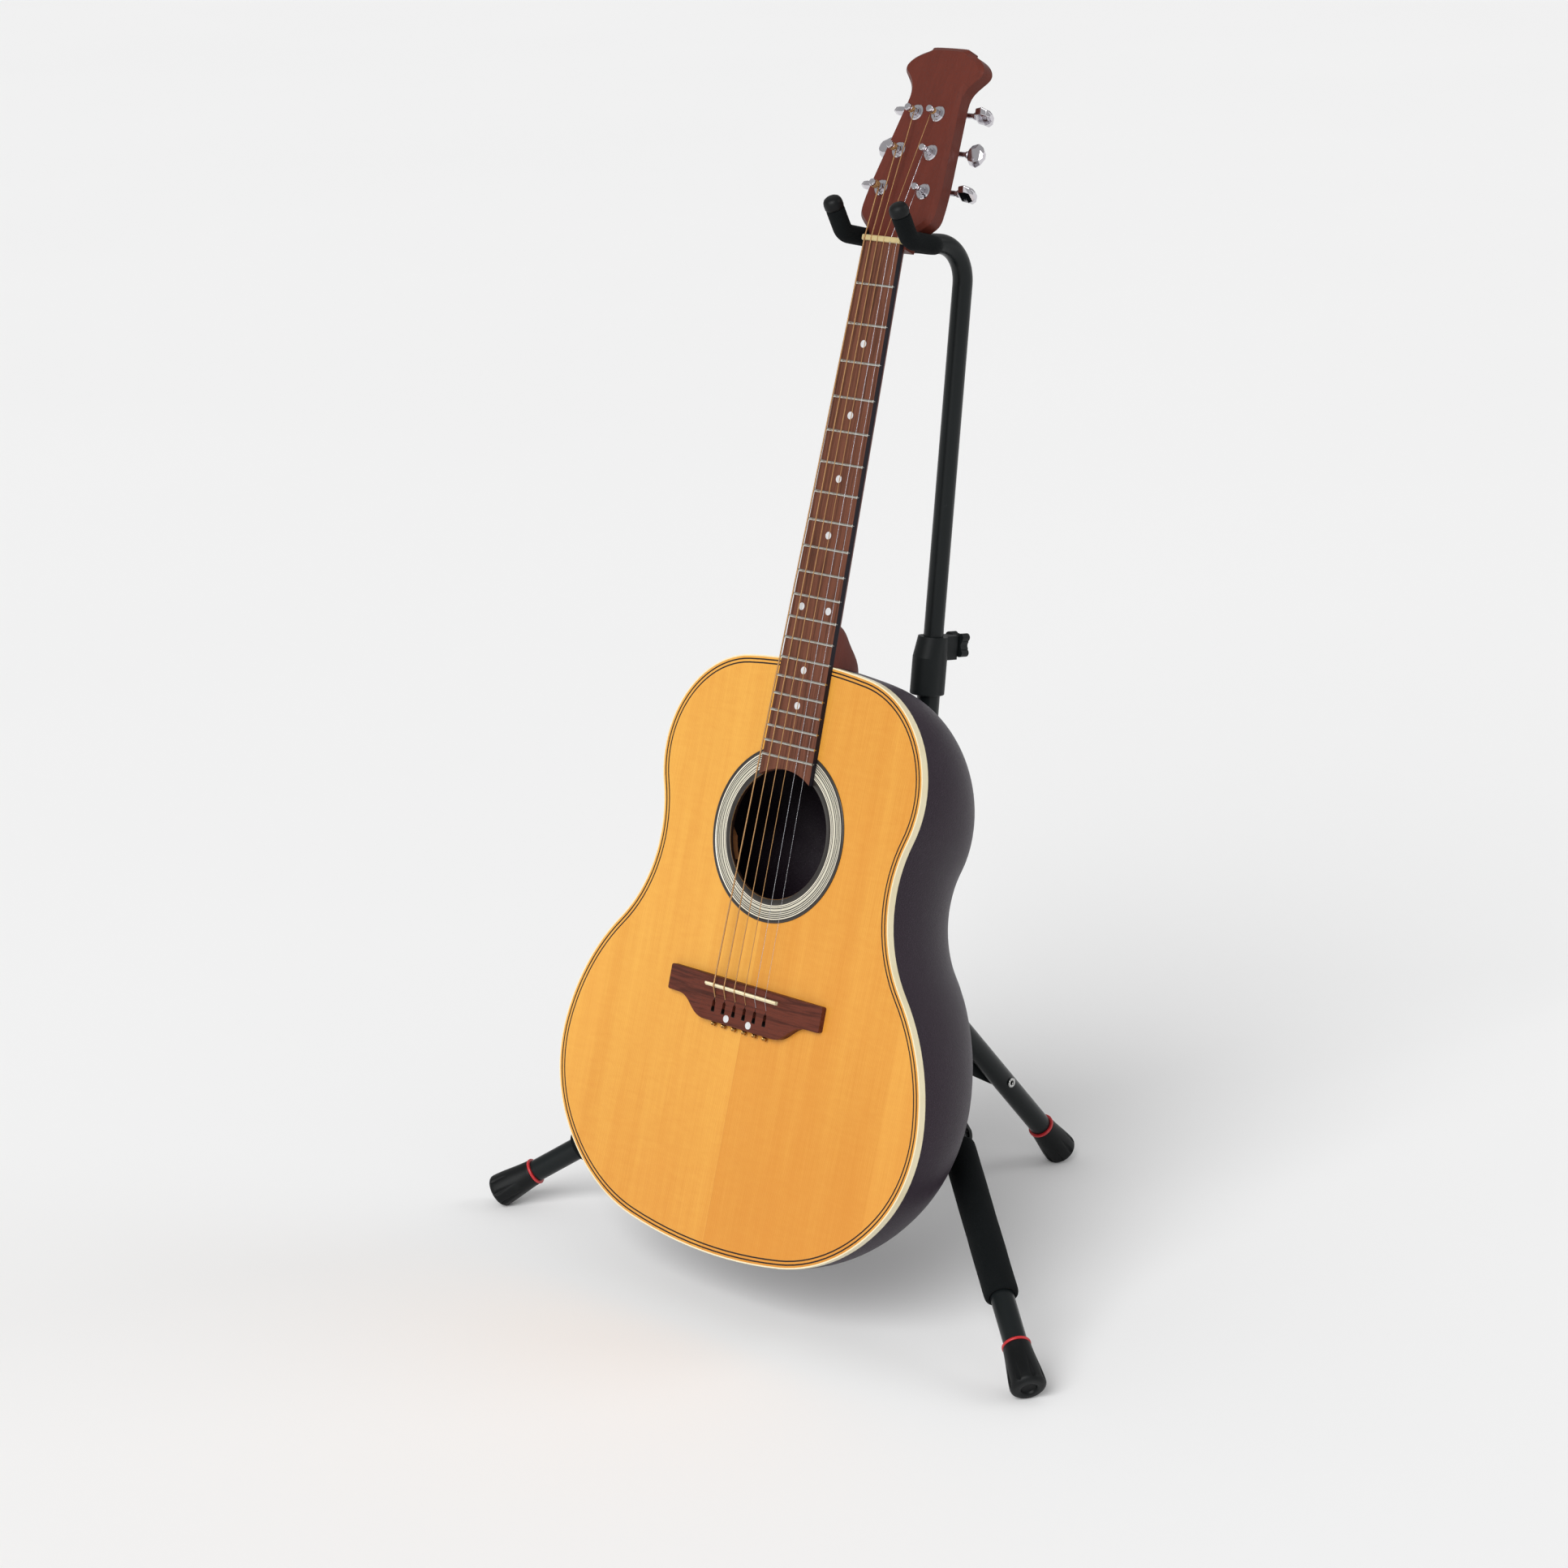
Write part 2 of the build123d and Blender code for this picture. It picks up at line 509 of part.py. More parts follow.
def make_bridge():
    nodes = {}
    top_y = -SCALE_LENGTH + BRIDGE_ABOVE_SADDLE
    end_y = top_y - BRIDGE_END_DEPTH
    low_y = top_y - BRIDGE_MIDDLE_DEPTH
    inner, outer = BRIDGE_SHOULDERS
    curve_right = Spline((outer, end_y), ((inner + outer) / 2, (end_y + low_y) / 2), (inner, low_y),
                         tangents=[(-1, 0), (-1, 0)])
    curve_left = Spline((-inner, low_y), (-(inner + outer) / 2, (end_y + low_y) / 2), (-outer, end_y),
                        tangents=[(-1, 0), (-1, 0)])
    back = Polyline((-outer, end_y), (-BRIDGE_HALF, end_y), (-BRIDGE_HALF, top_y), (BRIDGE_HALF, top_y),
                    (BRIDGE_HALF, end_y), (outer, end_y))
    front = Line((inner, low_y), (-inner, low_y))
    outline = make_face(Wire(back.edges() + curve_right.edges() + front.edges() + curve_left.edges()))
    bridge = Location((0, 0, TOP_Z)) * extrude(outline, amount=BRIDGE_HEIGHT)
    corners = bridge.edges().filter_by(Axis.Z).filter_by(lambda edge: abs(edge.center().X) > BRIDGE_HALF - 1)
    bridge = fillet(corners, 2.0)
    bridge = chamfer(bridge.faces().sort_by(Axis.Z)[-1].edges(), 0.8)
    wing_start = inner * 1.15
    fall = math.degrees(math.atan2(BRIDGE_HEIGHT - BRIDGE_WING_HEIGHT, BRIDGE_HALF - wing_start))
    for side in (-1, 1):
        slope = Location((wing_start, 0, TOP_Z + BRIDGE_HEIGHT), (0, fall, 0)) * block(
            0, BRIDGE_HALF, low_y - 5, top_y + 5, 0, BRIDGE_HEIGHT)
        bridge -= slope if side > 0 else mirror(slope, about=Plane.YZ)
    saddle = block(-SADDLE_LENGTH / 2, SADDLE_LENGTH / 2, -SCALE_LENGTH - SADDLE_WIDTH / 2, -SCALE_LENGTH + SADDLE_WIDTH / 2,
                   TOP_Z + BRIDGE_HEIGHT - SADDLE_DEPTH, TOP_Z + BRIDGE_HEIGHT + SADDLE_RISE)
    crest = saddle.edges().filter_by(Axis.X).sort_by(Axis.Z)[-2:].sort_by(Axis.Y)
    saddle = chamfer(crest[0], SADDLE_WIDTH * 0.5)
    bridge -= saddle
    slot_y = -SCALE_LENGTH - STRING_SLOT_BELOW_SADDLE
    for x, gauge in string_list(STRING_SPREAD_SADDLE):
        bridge -= y_cylinder(1.2, BRIDGE_MIDDLE_DEPTH, x, slot_y - BRIDGE_MIDDLE_DEPTH + 4, TOP_Z + BRIDGE_HEIGHT * 0.45)
        slot = block(x - 1.7, x + 1.7, slot_y - 5.0, slot_y + 5.0, TOP_Z + BRIDGE_HEIGHT * 0.45, TOP_Z + BRIDGE_HEIGHT + 1)
        bridge -= fillet(slot.edges().filter_by(Axis.Z), 1.6)
    nodes["bridge"] = bridge
    nodes["saddle"] = saddle
    return nodes, slot_y


def string_run(index, slot_y, extra=0.0):
    """One string from its post over the nut and saddle into its slot, thicker by extra."""
    gauges = WOUND_GAUGES + PLAIN_GAUGES
    radius = gauges[index] / 2
    side_name, row = STRING_POSTS[index]
    side = -1 if side_name == "bass" else 1
    across, along = TUNER_ROWS[row]
    touch = side * (across - POST_WAIST_RADIUS - radius - FITTED_CLEARANCE)
    x_nut = string_list(STRING_SPREAD_NUT)[index][0]
    x_saddle = string_list(STRING_SPREAD_SADDLE)[index][0]
    level = STRING_OVER_BOARD + radius
    saddle_level = TOP_Z + BRIDGE_HEIGHT + SADDLE_RISE + radius + FITTED_CLEARANCE / 2
    points = [head_point(touch, along - 1.0, POST_RISE * 0.5),
              Vector(x_nut, NUT_LENGTH * 0.5, level),
              Vector(x_nut, 0, level),
              Vector(x_saddle, -SCALE_LENGTH, saddle_level),
              Vector(x_saddle, slot_y + 2.0, TOP_Z + BRIDGE_HEIGHT * 0.45 + 0.9)]
    run = cylinder_between(tuple(points[0]), tuple(points[1]), radius + extra)
    for start, end in zip(points[1:], points[2:]):
        run += Location(tuple(start)) * Sphere((radius + extra) * STRING_BEND_SWELL)
        run += cylinder_between(tuple(start), tuple(end), radius + extra)
    return run


def make_strings(slot_y):
    solids = [string_run(index, slot_y).solid() for index in range(len(STRING_POSTS))]
    split = len(WOUND_GAUGES)
    return {"wound_strings": Compound(children=solids[:split]), "plain_strings": Compound(children=solids[split:])}


def make_tuners():
    """Posts and buttons, one node each, and the cases and bushings as two groups."""
    nodes = {}
    cases = []
    bushings = []
    back = -HEAD_THICKNESS
    middle = back - CASE_HEIGHT / 2
    offset = GEAR_RADIUS + WORM_RADIUS + 0.15
    for name, side, across, along in tuner_places():
        shaft_y = along + offset
        case = block(across - CASE_WIDTH / 2, across + CASE_WIDTH / 2, along - CASE_BELOW, along + CASE_ABOVE,
                     back - CASE_HEIGHT, back)
        case = fillet(case.edges().filter_by(Axis.Z), 3.0)
        case -= block(across - CASE_WIDTH / 2 + CASE_WALL, across + CASE_WIDTH / 2 - CASE_WALL,
                      along - CASE_BELOW + CASE_WALL, along + CASE_ABOVE - CASE_WALL,
                      back - CASE_HEIGHT + CASE_WALL, back - CASE_WALL)
        case -= disc(POST_RADIUS + RUNNING_CLEARANCE / 2, CASE_WALL * 2, across, along, back - CASE_WALL * 1.5)
        shaft_hole = Location((across, shaft_y, middle), (0, side * 90, 0)) * Cylinder(
            TUNER_SHAFT_RADIUS + RUNNING_CLEARANCE / 2, CASE_WIDTH, align=(Align.CENTER, Align.CENTER, Align.MIN))
        case -= shaft_hole
        cases.append(HEAD_FRAME * case.solid())

        bushing = disc(BUSHING_RADIUS, BUSHING_HEIGHT, across, along, 0)
        bushing = chamfer(bushing.edges().sort_by(Axis.Z)[-1:], 0.8)
        bushing += disc(BUSHING_COLLAR_RADIUS, BUSHING_COLLAR_HEIGHT, across, along, 0)
        bushing += disc(POST_RADIUS + 1.2, HEAD_THICKNESS / 2, across, along, -HEAD_THICKNESS / 2)
        bushing -= disc(POST_RADIUS + RUNNING_CLEARANCE / 2, HEAD_THICKNESS, across, along, -HEAD_THICKNESS / 2 - 1)
        bushings.append(HEAD_FRAME * bushing.solid())

        gear = disc(GEAR_RADIUS, GEAR_THICKNESS, across, along, middle - GEAR_THICKNESS / 2)
        post = disc(POST_RADIUS, BUSHING_COLLAR_HEIGHT + 1 - middle, across, along, middle)
        waist = disc(POST_WAIST_RADIUS, POST_RISE - BUSHING_COLLAR_HEIGHT - 2, across, along, BUSHING_COLLAR_HEIGHT)
        knob = Location((across, along, POST_RISE - 1.0)) * Sphere(POST_KNOB_RADIUS)
        knob -= block(across - 9, across + 9, along - 9, along + 9, POST_RISE + 1.2, POST_RISE + 9)
        knob -= block(across - 9, across + 9, along - 9, along + 9, POST_RISE - 9, POST_RISE - 3.2)
        nodes[f"tuner_post_{name}"] = HEAD_FRAME * (gear + post + waist + knob).solid()

        head_edge = head_half_width(along)
        start = across * side - CASE_WIDTH / 2 + CASE_WALL + 0.2
        tip = head_edge + BUTTON_BEYOND_EDGE
        shaft = Location((side * start, shaft_y, middle), (0, side * 90, 0))
        shaft_solid = shaft * Cylinder(TUNER_SHAFT_RADIUS, tip + 2 - start, align=(Align.CENTER, Align.CENTER, Align.MIN))
        neck_in_case = shaft * (Cylinder(TUNER_SHAFT_RADIUS + 1, CASE_WIDTH - 2 * CASE_WALL - 0.4,
                                         align=(Align.CENTER, Align.CENTER, Align.MIN))
                                - Cylinder(WORM_RADIUS, CASE_WIDTH - 2 * CASE_WALL - 0.4,
                                           align=(Align.CENTER, Align.CENTER, Align.MIN)))
        shaft_solid -= neck_in_case
        half = BUTTON_WIDTH / 2
        outline = Polyline((0, -half * 0.42), (3.5, -half * 0.9), (BUTTON_LENGTH * 0.55, -half), (BUTTON_LENGTH * 0.86, -half * 0.72),
                           (BUTTON_LENGTH, -half * 0.25), (BUTTON_LENGTH, half * 0.25), (BUTTON_LENGTH * 0.86, half * 0.72),
                           (BUTTON_LENGTH * 0.55, half), (3.5, half * 0.9), (0, half * 0.42), close=True)
        body = extrude(make_face(outline), amount=BUTTON_THICKNESS / 2, both=True)
        body = chamfer(body.edges().filter_by(Plane.XY), BUTTON_THICKNESS * 0.3)
        body = body if side > 0 else mirror(body, about=Plane.YZ)
        turn = TUNER_TURNS[name]
        body = Location((side * tip, shaft_y, middle), (side * turn, 0, 0)) * body
        nodes[f"tuner_button_{name}"] = HEAD_FRAME * (shaft_solid + body).solid()
    nodes["tuner_cases"] = Compound(children=cases)
    nodes["tuner_bushings"] = Compound(children=bushings)
    return nodes


def head_half_width(along):
    """Half the headstock's width at a distance above the nut, from its straight sides."""
    for (x0, y0), (x1, y1) in zip(HEAD_SIDE, HEAD_SIDE[1:]):
        if y0 <= along <= y1:
            return x0 + (x1 - x0) * (along - y0) / (y1 - y0)
    return HEAD_SIDE[-1][0]


def make_strap_button():
    level = STRAP_BUTTON_DROP / BOWL_DEPTH
    shrink = (1 - level ** BOWL_POWER) ** (1 / BOWL_POWER)
    tail = BOWL_CENTRE_Y + (TAIL_Y - BOWL_CENTRE_Y) * shrink
    z = BINDING_BOTTOM - STRAP_BUTTON_DROP
    neck = y_cylinder(STRAP_BUTTON_RADIUS * 0.55, STRAP_BUTTON_LENGTH, 0, tail - STRAP_BUTTON_LENGTH + 1.5, z)
    lip = y_cylinder(STRAP_BUTTON_RADIUS, 3.0, 0, tail - STRAP_BUTTON_LENGTH + 1.5, z)
    return fillet(lip.edges(), 1.0) + neck


# ================================================================ stand
UPPER_TUBE_RADIUS = LOWER_TUBE_RADIUS - TUBE_WALL - RUNNING_CLEARANCE
RELATIVE_LEAN = math.radians(GUITAR_LEAN - MAST_LEAN)


def world_to_mast(forward, rise):
    """Rear and up distances in the mast frame of a point given in front of and above the hub."""
    lean = math.radians(MAST_LEAN)
    return (-forward * math.cos(lean) - rise * math.sin(lean), -forward * math.sin(lean) + rise * math.cos(lean))


NUT_FORWARD = BODY_FORWARD + JOINT_Y * math.sin(math.radians(GUITAR_LEAN))
NUT_RISE_OVER_HUB = BODY_RISE - JOINT_Y * math.cos(math.radians(GUITAR_LEAN))
NUT_MAST_Y, NUT_MAST_Z = world_to_mast(NUT_FORWARD, NUT_RISE_OVER_HUB)
YOKE_Z = NUT_MAST_Z + YOKE_ABOVE_NUT
NECK_BACK_Y = NUT_MAST_Y + (FINGERBOARD_THICKNESS + NECK_DEPTH_AT_NUT) * math.cos(RELATIVE_LEAN)
YOKE_BASE_Y = NECK_BACK_Y + YOKE_SETBACK + SOFT_CLEARANCE + YOKE_FOAM_RADIUS


def tube(radius, wall, z0, z1):
    return disc(radius, z1 - z0, 0, 0, z0) - disc(radius - wall, z1 - z0, 0, 0, z0)


def yoke_path():
    """Centre line of the yoke's rod from the left tip to the right tip."""
    front = YOKE_BASE_Y - YOKE_PRONG_LENGTH
    tip = (YOKE_HALF_SPREAD, front - YOKE_TIP_REACH, YOKE_Z + YOKE_PRONG_RISE + YOKE_TIP_RISE)
    elbow = (YOKE_HALF_SPREAD, front, YOKE_Z + YOKE_PRONG_RISE)
    corner = (YOKE_HALF_SPREAD, YOKE_BASE_Y, YOKE_Z)
    right = [tip, elbow, corner]
    left = [(-x, y, z) for x, y, z in right]
    points = left + right[::-1]
    radii = [YOKE_TIP_RADIUS, YOKE_GAP_RADIUS, YOKE_GAP_RADIUS, YOKE_TIP_RADIUS]
    return FilletPolyline(*points, radius=radii)


def make_mast():
    nodes = {}
    seat_top = CLAMP_BOTTOM + CLAMP_SEAT
    clamp_top = CLAMP_BOTTOM + CLAMP_LENGTH
    nodes["lower_tube"] = tube(LOWER_TUBE_RADIUS, TUBE_WALL, -LOWER_TUBE_BELOW, seat_top)
    plug = disc(LOWER_TUBE_RADIUS + 1.6, 6.0, 0, 0, -LOWER_TUBE_BELOW - 6.0)
    plug = fillet(plug.edges().sort_by(Axis.Z)[0], 2.5)
    plug += disc(LOWER_TUBE_RADIUS - TUBE_WALL, 14.0, 0, 0, -LOWER_TUBE_BELOW)
    nodes["lower_tube_plug"] = plug

    low = Circle(CLAMP_RADIUS) + Location((0, -CLAMP_BULGE)) * Circle(CLAMP_RADIUS)
    low += Location((0, -CLAMP_BULGE / 2)) * Rectangle(2 * CLAMP_RADIUS, CLAMP_BULGE)
    high = Circle(CLAMP_NECK_RADIUS) + Location((0, -0.8)) * Circle(CLAMP_NECK_RADIUS)
    high += Location((0, -0.4)) * Rectangle(2 * CLAMP_NECK_RADIUS, 0.8)
    straight = CLAMP_LENGTH - CLAMP_TAPER
    clamp = Location((0, 0, CLAMP_BOTTOM)) * extrude(low, amount=straight)
    clamp = fillet(clamp.edges().sort_by(Axis.Z)[:4], 1.5)
    clamp += loft([Location((0, 0, CLAMP_BOTTOM + straight)) * low, Location((0, 0, clamp_top)) * high], ruled=True)
    ear = block(-CLAMP_EAR_WIDTH / 2, CLAMP_EAR_WIDTH / 2, 0, CLAMP_EAR_REACH, clamp_top - CLAMP_EAR_HEIGHT, clamp_top)
    ear = fillet(ear.edges().filter_by(Axis.Z), 2.0)
    clamp += ear
    clamp -= disc(LOWER_TUBE_RADIUS, CLAMP_SEAT, 0, 0, CLAMP_BOTTOM)
    clamp -= disc(UPPER_TUBE_RADIUS + RUNNING_CLEARANCE, CLAMP_LENGTH, 0, 0, CLAMP_BOTTOM)
    screw_z = clamp_top - CLAMP_EAR_HEIGHT / 2 + 2.0
    clamp -= y_cylinder(SCREW_RADIUS + RUNNING_CLEARANCE / 2, CLAMP_EAR_REACH, 0, 0, screw_z)
    nodes["height_clamp"] = clamp
    nodes["clamp_knob"] = knob_solid(UPPER_TUBE_RADIUS + 0.05, CLAMP_EAR_REACH + 0.4, screw_z)

    bend_z = YOKE_Z - MAST_BEND_RADIUS
    arm_end = YOKE_BASE_Y + YOKE_FOAM_RADIUS + 1.0
    path = Line((0, 0, UPPER_TUBE_OVERLAP), (0, 0, bend_z))
    mid = (0, -MAST_BEND_RADIUS * (1 - math.cos(math.pi / 4)), bend_z + MAST_BEND_RADIUS * math.sin(math.pi / 4))
    bend = ThreePointArc((0, 0, bend_z), mid, (0, -MAST_BEND_RADIUS, YOKE_Z))
    arm = Line((0, -MAST_BEND_RADIUS, YOKE_Z), (0, arm_end, YOKE_Z))
    wire = Wire([path, bend, arm])
    ring = Location((0, 0, UPPER_TUBE_OVERLAP)) * (Circle(UPPER_TUBE_RADIUS) - Circle(UPPER_TUBE_RADIUS - TUBE_WALL))
    nodes["upper_tube"] = sweep(ring, path=wire)

    rod = sweep(Plane(origin=yoke_path() @ 0, z_dir=yoke_path() % 0) * Circle(YOKE_ROD_RADIUS), path=yoke_path())
    foam = sweep(Plane(origin=yoke_path() @ 0, z_dir=yoke_path() % 0) * Circle(YOKE_FOAM_RADIUS), path=yoke_path())
    head_front = YOKE_BASE_Y - YOKE_FOAM_RADIUS + HEADPIECE_RECESS
    head = y_cylinder(UPPER_TUBE_RADIUS, arm_end - head_front, 0, head_front, YOKE_Z)
    head = fillet(head.edges().sort_by(Axis.Y)[0], 3.0)
    head += y_cylinder(UPPER_TUBE_RADIUS - TUBE_WALL, 16.0, 0, arm_end, YOKE_Z)
    sleeve = sweep(Plane(origin=yoke_path() @ 0, z_dir=yoke_path() % 0) * Circle(YOKE_ROD_RADIUS + FITTED_CLEARANCE),
                   path=yoke_path())
    head -= sleeve
    foam -= sleeve
    foam -= block(-HEADPIECE_HALF, HEADPIECE_HALF, YOKE_BASE_Y - 20, YOKE_BASE_Y + 20, YOKE_Z - 20, YOKE_Z + 20)
    nodes["yoke_rod"] = rod
    nodes["yoke_headpiece"] = head
    nodes["yoke_foam"] = Compound(children=foam.solids())
    caps = []
    for end, sign in ((0, -1), (1, 1)):
        tip = yoke_path() @ end
        direction = (yoke_path() % end) * sign
        plane = Plane(origin=tip, z_dir=direction)
        cap = disc(TIP_CAP_RADIUS, TIP_CAP_LENGTH, 0, 0, 0)
        cap = fillet(cap.edges().sort_by(Axis.Z)[-1], TIP_CAP_RADIUS * 0.7)
        caps.append((plane * cap).solid())
    nodes["yoke_caps"] = Compound(children=caps)
    return nodes


def knob_solid(start, flange, z):
    """Lobed knob on a screw along Y."""
    screw = y_cylinder(SCREW_RADIUS, flange + KNOB_THICKNESS / 2 - start, 0, start, z)
    outline = Circle(KNOB_RADIUS)
    for lobe in range(KNOB_LOBES):
        angle = math.radians(45 + 360 * lobe / KNOB_LOBES)
        outline += Location((KNOB_RADIUS * math.cos(angle), KNOB_RADIUS * math.sin(angle))) * Circle(KNOB_LOBE_RADIUS)
    for lobe in range(KNOB_LOBES):
        angle = math.radians(360 * lobe / KNOB_LOBES)
        reach = KNOB_RADIUS + KNOB_LOBE_RADIUS * 0.8
        outline -= Location((reach * math.cos(angle), reach * math.sin(angle))) * Circle(KNOB_LOBE_RADIUS * 1.2)
    knob = Location((0, flange, z), (-90, 0, 0)) * extrude(outline, amount=KNOB_THICKNESS)
    knob = chamfer(knob.faces().sort_by(Axis.Y)[-1].edges(), 1.0)
    return knob + screw


def radial(azimuth):
    """Frame at the mast with Y outwards towards an azimuth that is measured from the front."""
    return Location((0, 0, 0), (0, 0, 180 + azimuth))


def leg_frame(name):
    """Frame at a leg's pivot with Z along the leg and X along the pivot pin."""
    spread = REAR_SPREAD if name == "rear" else FRONT_SPREAD
    return radial(LEGS[name]) * Location((0, PIVOT_RADIUS, -PIVOT_BELOW), (180 + spread, 0, 0))


MAST_FRAME = Location((0, 0, HUB_HEIGHT), (-MAST_LEAN, 0, 0))


def leg_length(name):
    """Length from the pivot to the foot's end that sets the foot's rim on the floor."""
    frame = MAST_FRAME * leg_frame(name)
    start = Vector(*frame.position)
    ahead = Vector(*(frame * Location((0, 0, 1))).position) - start
    rim = (FOOT_END_RADIUS - FOOT_ROUNDING) * math.sqrt(1 - ahead.Z ** 2) + FOOT_ROUNDING
    return (start.Z - rim + FOOT_TRIM) / -ahead.Z + FOOT_ROUNDING


def make_hub():
    hub = disc(HUB_RADIUS, HUB_UP + HUB_DOWN, 0, 0, -PIVOT_BELOW - HUB_DOWN)
    hub = fillet(hub.edges(), 1.5)
    pins = []
    for azimuth in LEGS.values():
        frame = radial(azimuth)
        for side in (-1, 1):
            inner = LEG_RADIUS + EAR_GAP
            x0, x1 = sorted((side * inner, side * (inner + EAR_THICKNESS)))
            plate = block(x0, x1, 4.0, PIVOT_RADIUS, -PIVOT_BELOW - EAR_RADIUS, -PIVOT_BELOW + EAR_RADIUS)
            eye = Location((x0, PIVOT_RADIUS, -PIVOT_BELOW), (0, 90, 0)) * Cylinder(
                EAR_RADIUS, EAR_THICKNESS, align=(Align.CENTER, Align.CENTER, Align.MIN))
            hub += frame * (plate + eye)
    for azimuth in LEGS.values():
        frame = radial(azimuth)
        half = LEG_RADIUS + EAR_GAP + EAR_THICKNESS
        hub -= frame * block(-LEG_RADIUS - EAR_GAP, LEG_RADIUS + EAR_GAP, HUB_RADIUS, PIVOT_RADIUS + 20,
                             -PIVOT_BELOW - EAR_RADIUS - 1, -PIVOT_BELOW + EAR_RADIUS + 1)
        pin = Location((-half, PIVOT_RADIUS, -PIVOT_BELOW), (0, 90, 0)) * Cylinder(
            PIN_RADIUS, 2 * half, align=(Align.CENTER, Align.CENTER, Align.MIN))
        heads = [Location((sign * (half + 0.75), PIVOT_RADIUS, -PIVOT_BELOW), (0, 90, 0)) * Cylinder(PIN_RADIUS + 2, 1.5)
                 for sign in (-1, 1)]
        hub -= frame * pin
        pins.append((frame * (pin + heads[0] + heads[1])).solid())
    hub -= disc(LOWER_TUBE_RADIUS, 200, 0, 0, -100 - PIVOT_BELOW)
    return Compound(children=hub.solids() + pins)


BRACE_X = LEG_RADIUS + 0.8


def runner_pivot(name):
    return (RUNNER_PIVOT_RADIUS, -PIVOT_BELOW - RUNNER_BELOW_PIVOTS)


def rivet_place(name):
    spread = math.radians(REAR_SPREAD if name == "rear" else FRONT_SPREAD)
    return (PIVOT_RADIUS + RIVET_FROM_PIVOT * math.sin(spread), -PIVOT_BELOW - RIVET_FROM_PIVOT * math.cos(spread))


def x_cylinder(radius, x0, x1, y, z):
    return Location((x0, y, z), (0, 90, 0)) * Cylinder(radius, x1 - x0, align=(Align.CENTER, Align.CENTER, Align.MIN))


def make_leg(name):
    nodes = {}
    frame = leg_frame(name)
    length = leg_length(name)
    foot_start = length - FOOT_LENGTH
    tube_end = length - FOOT_END_WALL - FOOT_RECESS_DEPTH - 2
    leg = disc(LEG_RADIUS, tube_end + LEG_RADIUS, 0, 0, -LEG_RADIUS)
    leg &= block(-40, 40, -40, 40, 0, length) + x_cylinder(LEG_RADIUS, -40, 40, 0, 0)
    bore_start = LEG_RADIUS + 2
    leg -= disc(LEG_RADIUS - TUBE_WALL, tube_end, 0, 0, bore_start)
    leg -= x_cylinder(PIN_RADIUS + RUNNING_CLEARANCE / 2, -40, 40, 0, 0)
    leg -= x_cylinder(RIVET_RADIUS + RUNNING_CLEARANCE / 2, -40, 40, 0, RIVET_FROM_PIVOT)
    nodes[f"leg_{name}"] = frame * leg

    profile = Polyline((0, length), (FOOT_END_RADIUS, length), (FOOT_END_RADIUS, length - 8), (FOOT_TOP_RADIUS, foot_start),
                       (0, foot_start), close=True)
    foot = Plane.XZ * make_face(profile)
    foot = revolve(foot, Axis.Z)
    foot = fillet(foot.edges().sort_by(Axis.Z)[-1], FOOT_ROUNDING)
    foot -= disc(LEG_RADIUS + FITTED_CLEARANCE, tube_end - foot_start, 0, 0, foot_start)
    foot -= disc(FOOT_RECESS_RADIUS, FOOT_RECESS_DEPTH, 0, 0, length - FOOT_RECESS_DEPTH)
    nodes[f"foot_{name}"] = frame * foot
    ring = disc(FOOT_RING_RADIUS, FOOT_RING_WIDTH, 0, 0, foot_start - FOOT_RING_WIDTH)
    ring = fillet(ring.edges(), 0.9)
    ring -= disc(LEG_RADIUS + FITTED_CLEARANCE, FOOT_RING_WIDTH, 0, 0, foot_start - FOOT_RING_WIDTH)
    nodes[f"foot_ring_{name}"] = frame * ring

    if name != "rear":
        start = RIVET_FROM_PIVOT + LEG_FOAM_BEYOND_RIVET
        foam = disc(LEG_FOAM_RADIUS, LEG_FOAM_LENGTH, 0, 0, start)
        foam = fillet(foam.edges(), 3.0) - disc(LEG_RADIUS + SOFT_CLEARANCE, LEG_FOAM_LENGTH, 0, 0, start)
        nodes[f"leg_foam_{name}"] = frame * foam

    side = radial(LEGS[name])
    ky, kz = runner_pivot(name)
    py, pz = rivet_place(name)
    span = math.hypot(py - ky, pz - kz)
    tilt = math.degrees(math.atan2(py - ky, kz - pz))
    x0 = BRACE_X
    x1 = x0 + BRACE_STRAP_THICKNESS
    strap = block(x0, x1, -BRACE_STRAP_RADIUS, BRACE_STRAP_RADIUS, 0, span)
    for z in (0, span):
        strap += x_cylinder(BRACE_STRAP_RADIUS, x0, x1, 0, z)
    slot_r = RUNNER_PIN_RADIUS + BRACE_SLOT_PLAY
    slot = x_cylinder(slot_r, x0 - 1, x1 + 1, 0, 0)
    slot += block(x0 - 1, x1 + 1, -slot_r, slot_r, 0, BRACE_SLOT_TRAVEL)
    slot += x_cylinder(slot_r, x0 - 1, x1 + 1, 0, BRACE_SLOT_TRAVEL)
    strap -= slot
    rivet = x_cylinder(RIVET_RADIUS, -LEG_RADIUS - 0.4, x0 + 0.01, 0, span)
    rivet += x_cylinder(RIVET_FLANGE_RADIUS, -LEG_RADIUS - 0.4 - RIVET_FLANGE, -LEG_RADIUS - 0.4, 0, span)
    rivet += x_cylinder(RIVET_FLANGE_RADIUS, x1, x1 + RIVET_FLANGE, 0, span)
    strap += rivet
    strap -= x_cylinder(RIVET_BORE_RADIUS, -40, 40, 0, span)
    nodes[f"brace_{name}"] = side * Location((0, ky, kz), (180 + tilt, 0, 0)) * mirror(strap, about=Plane.YZ)
    return nodes


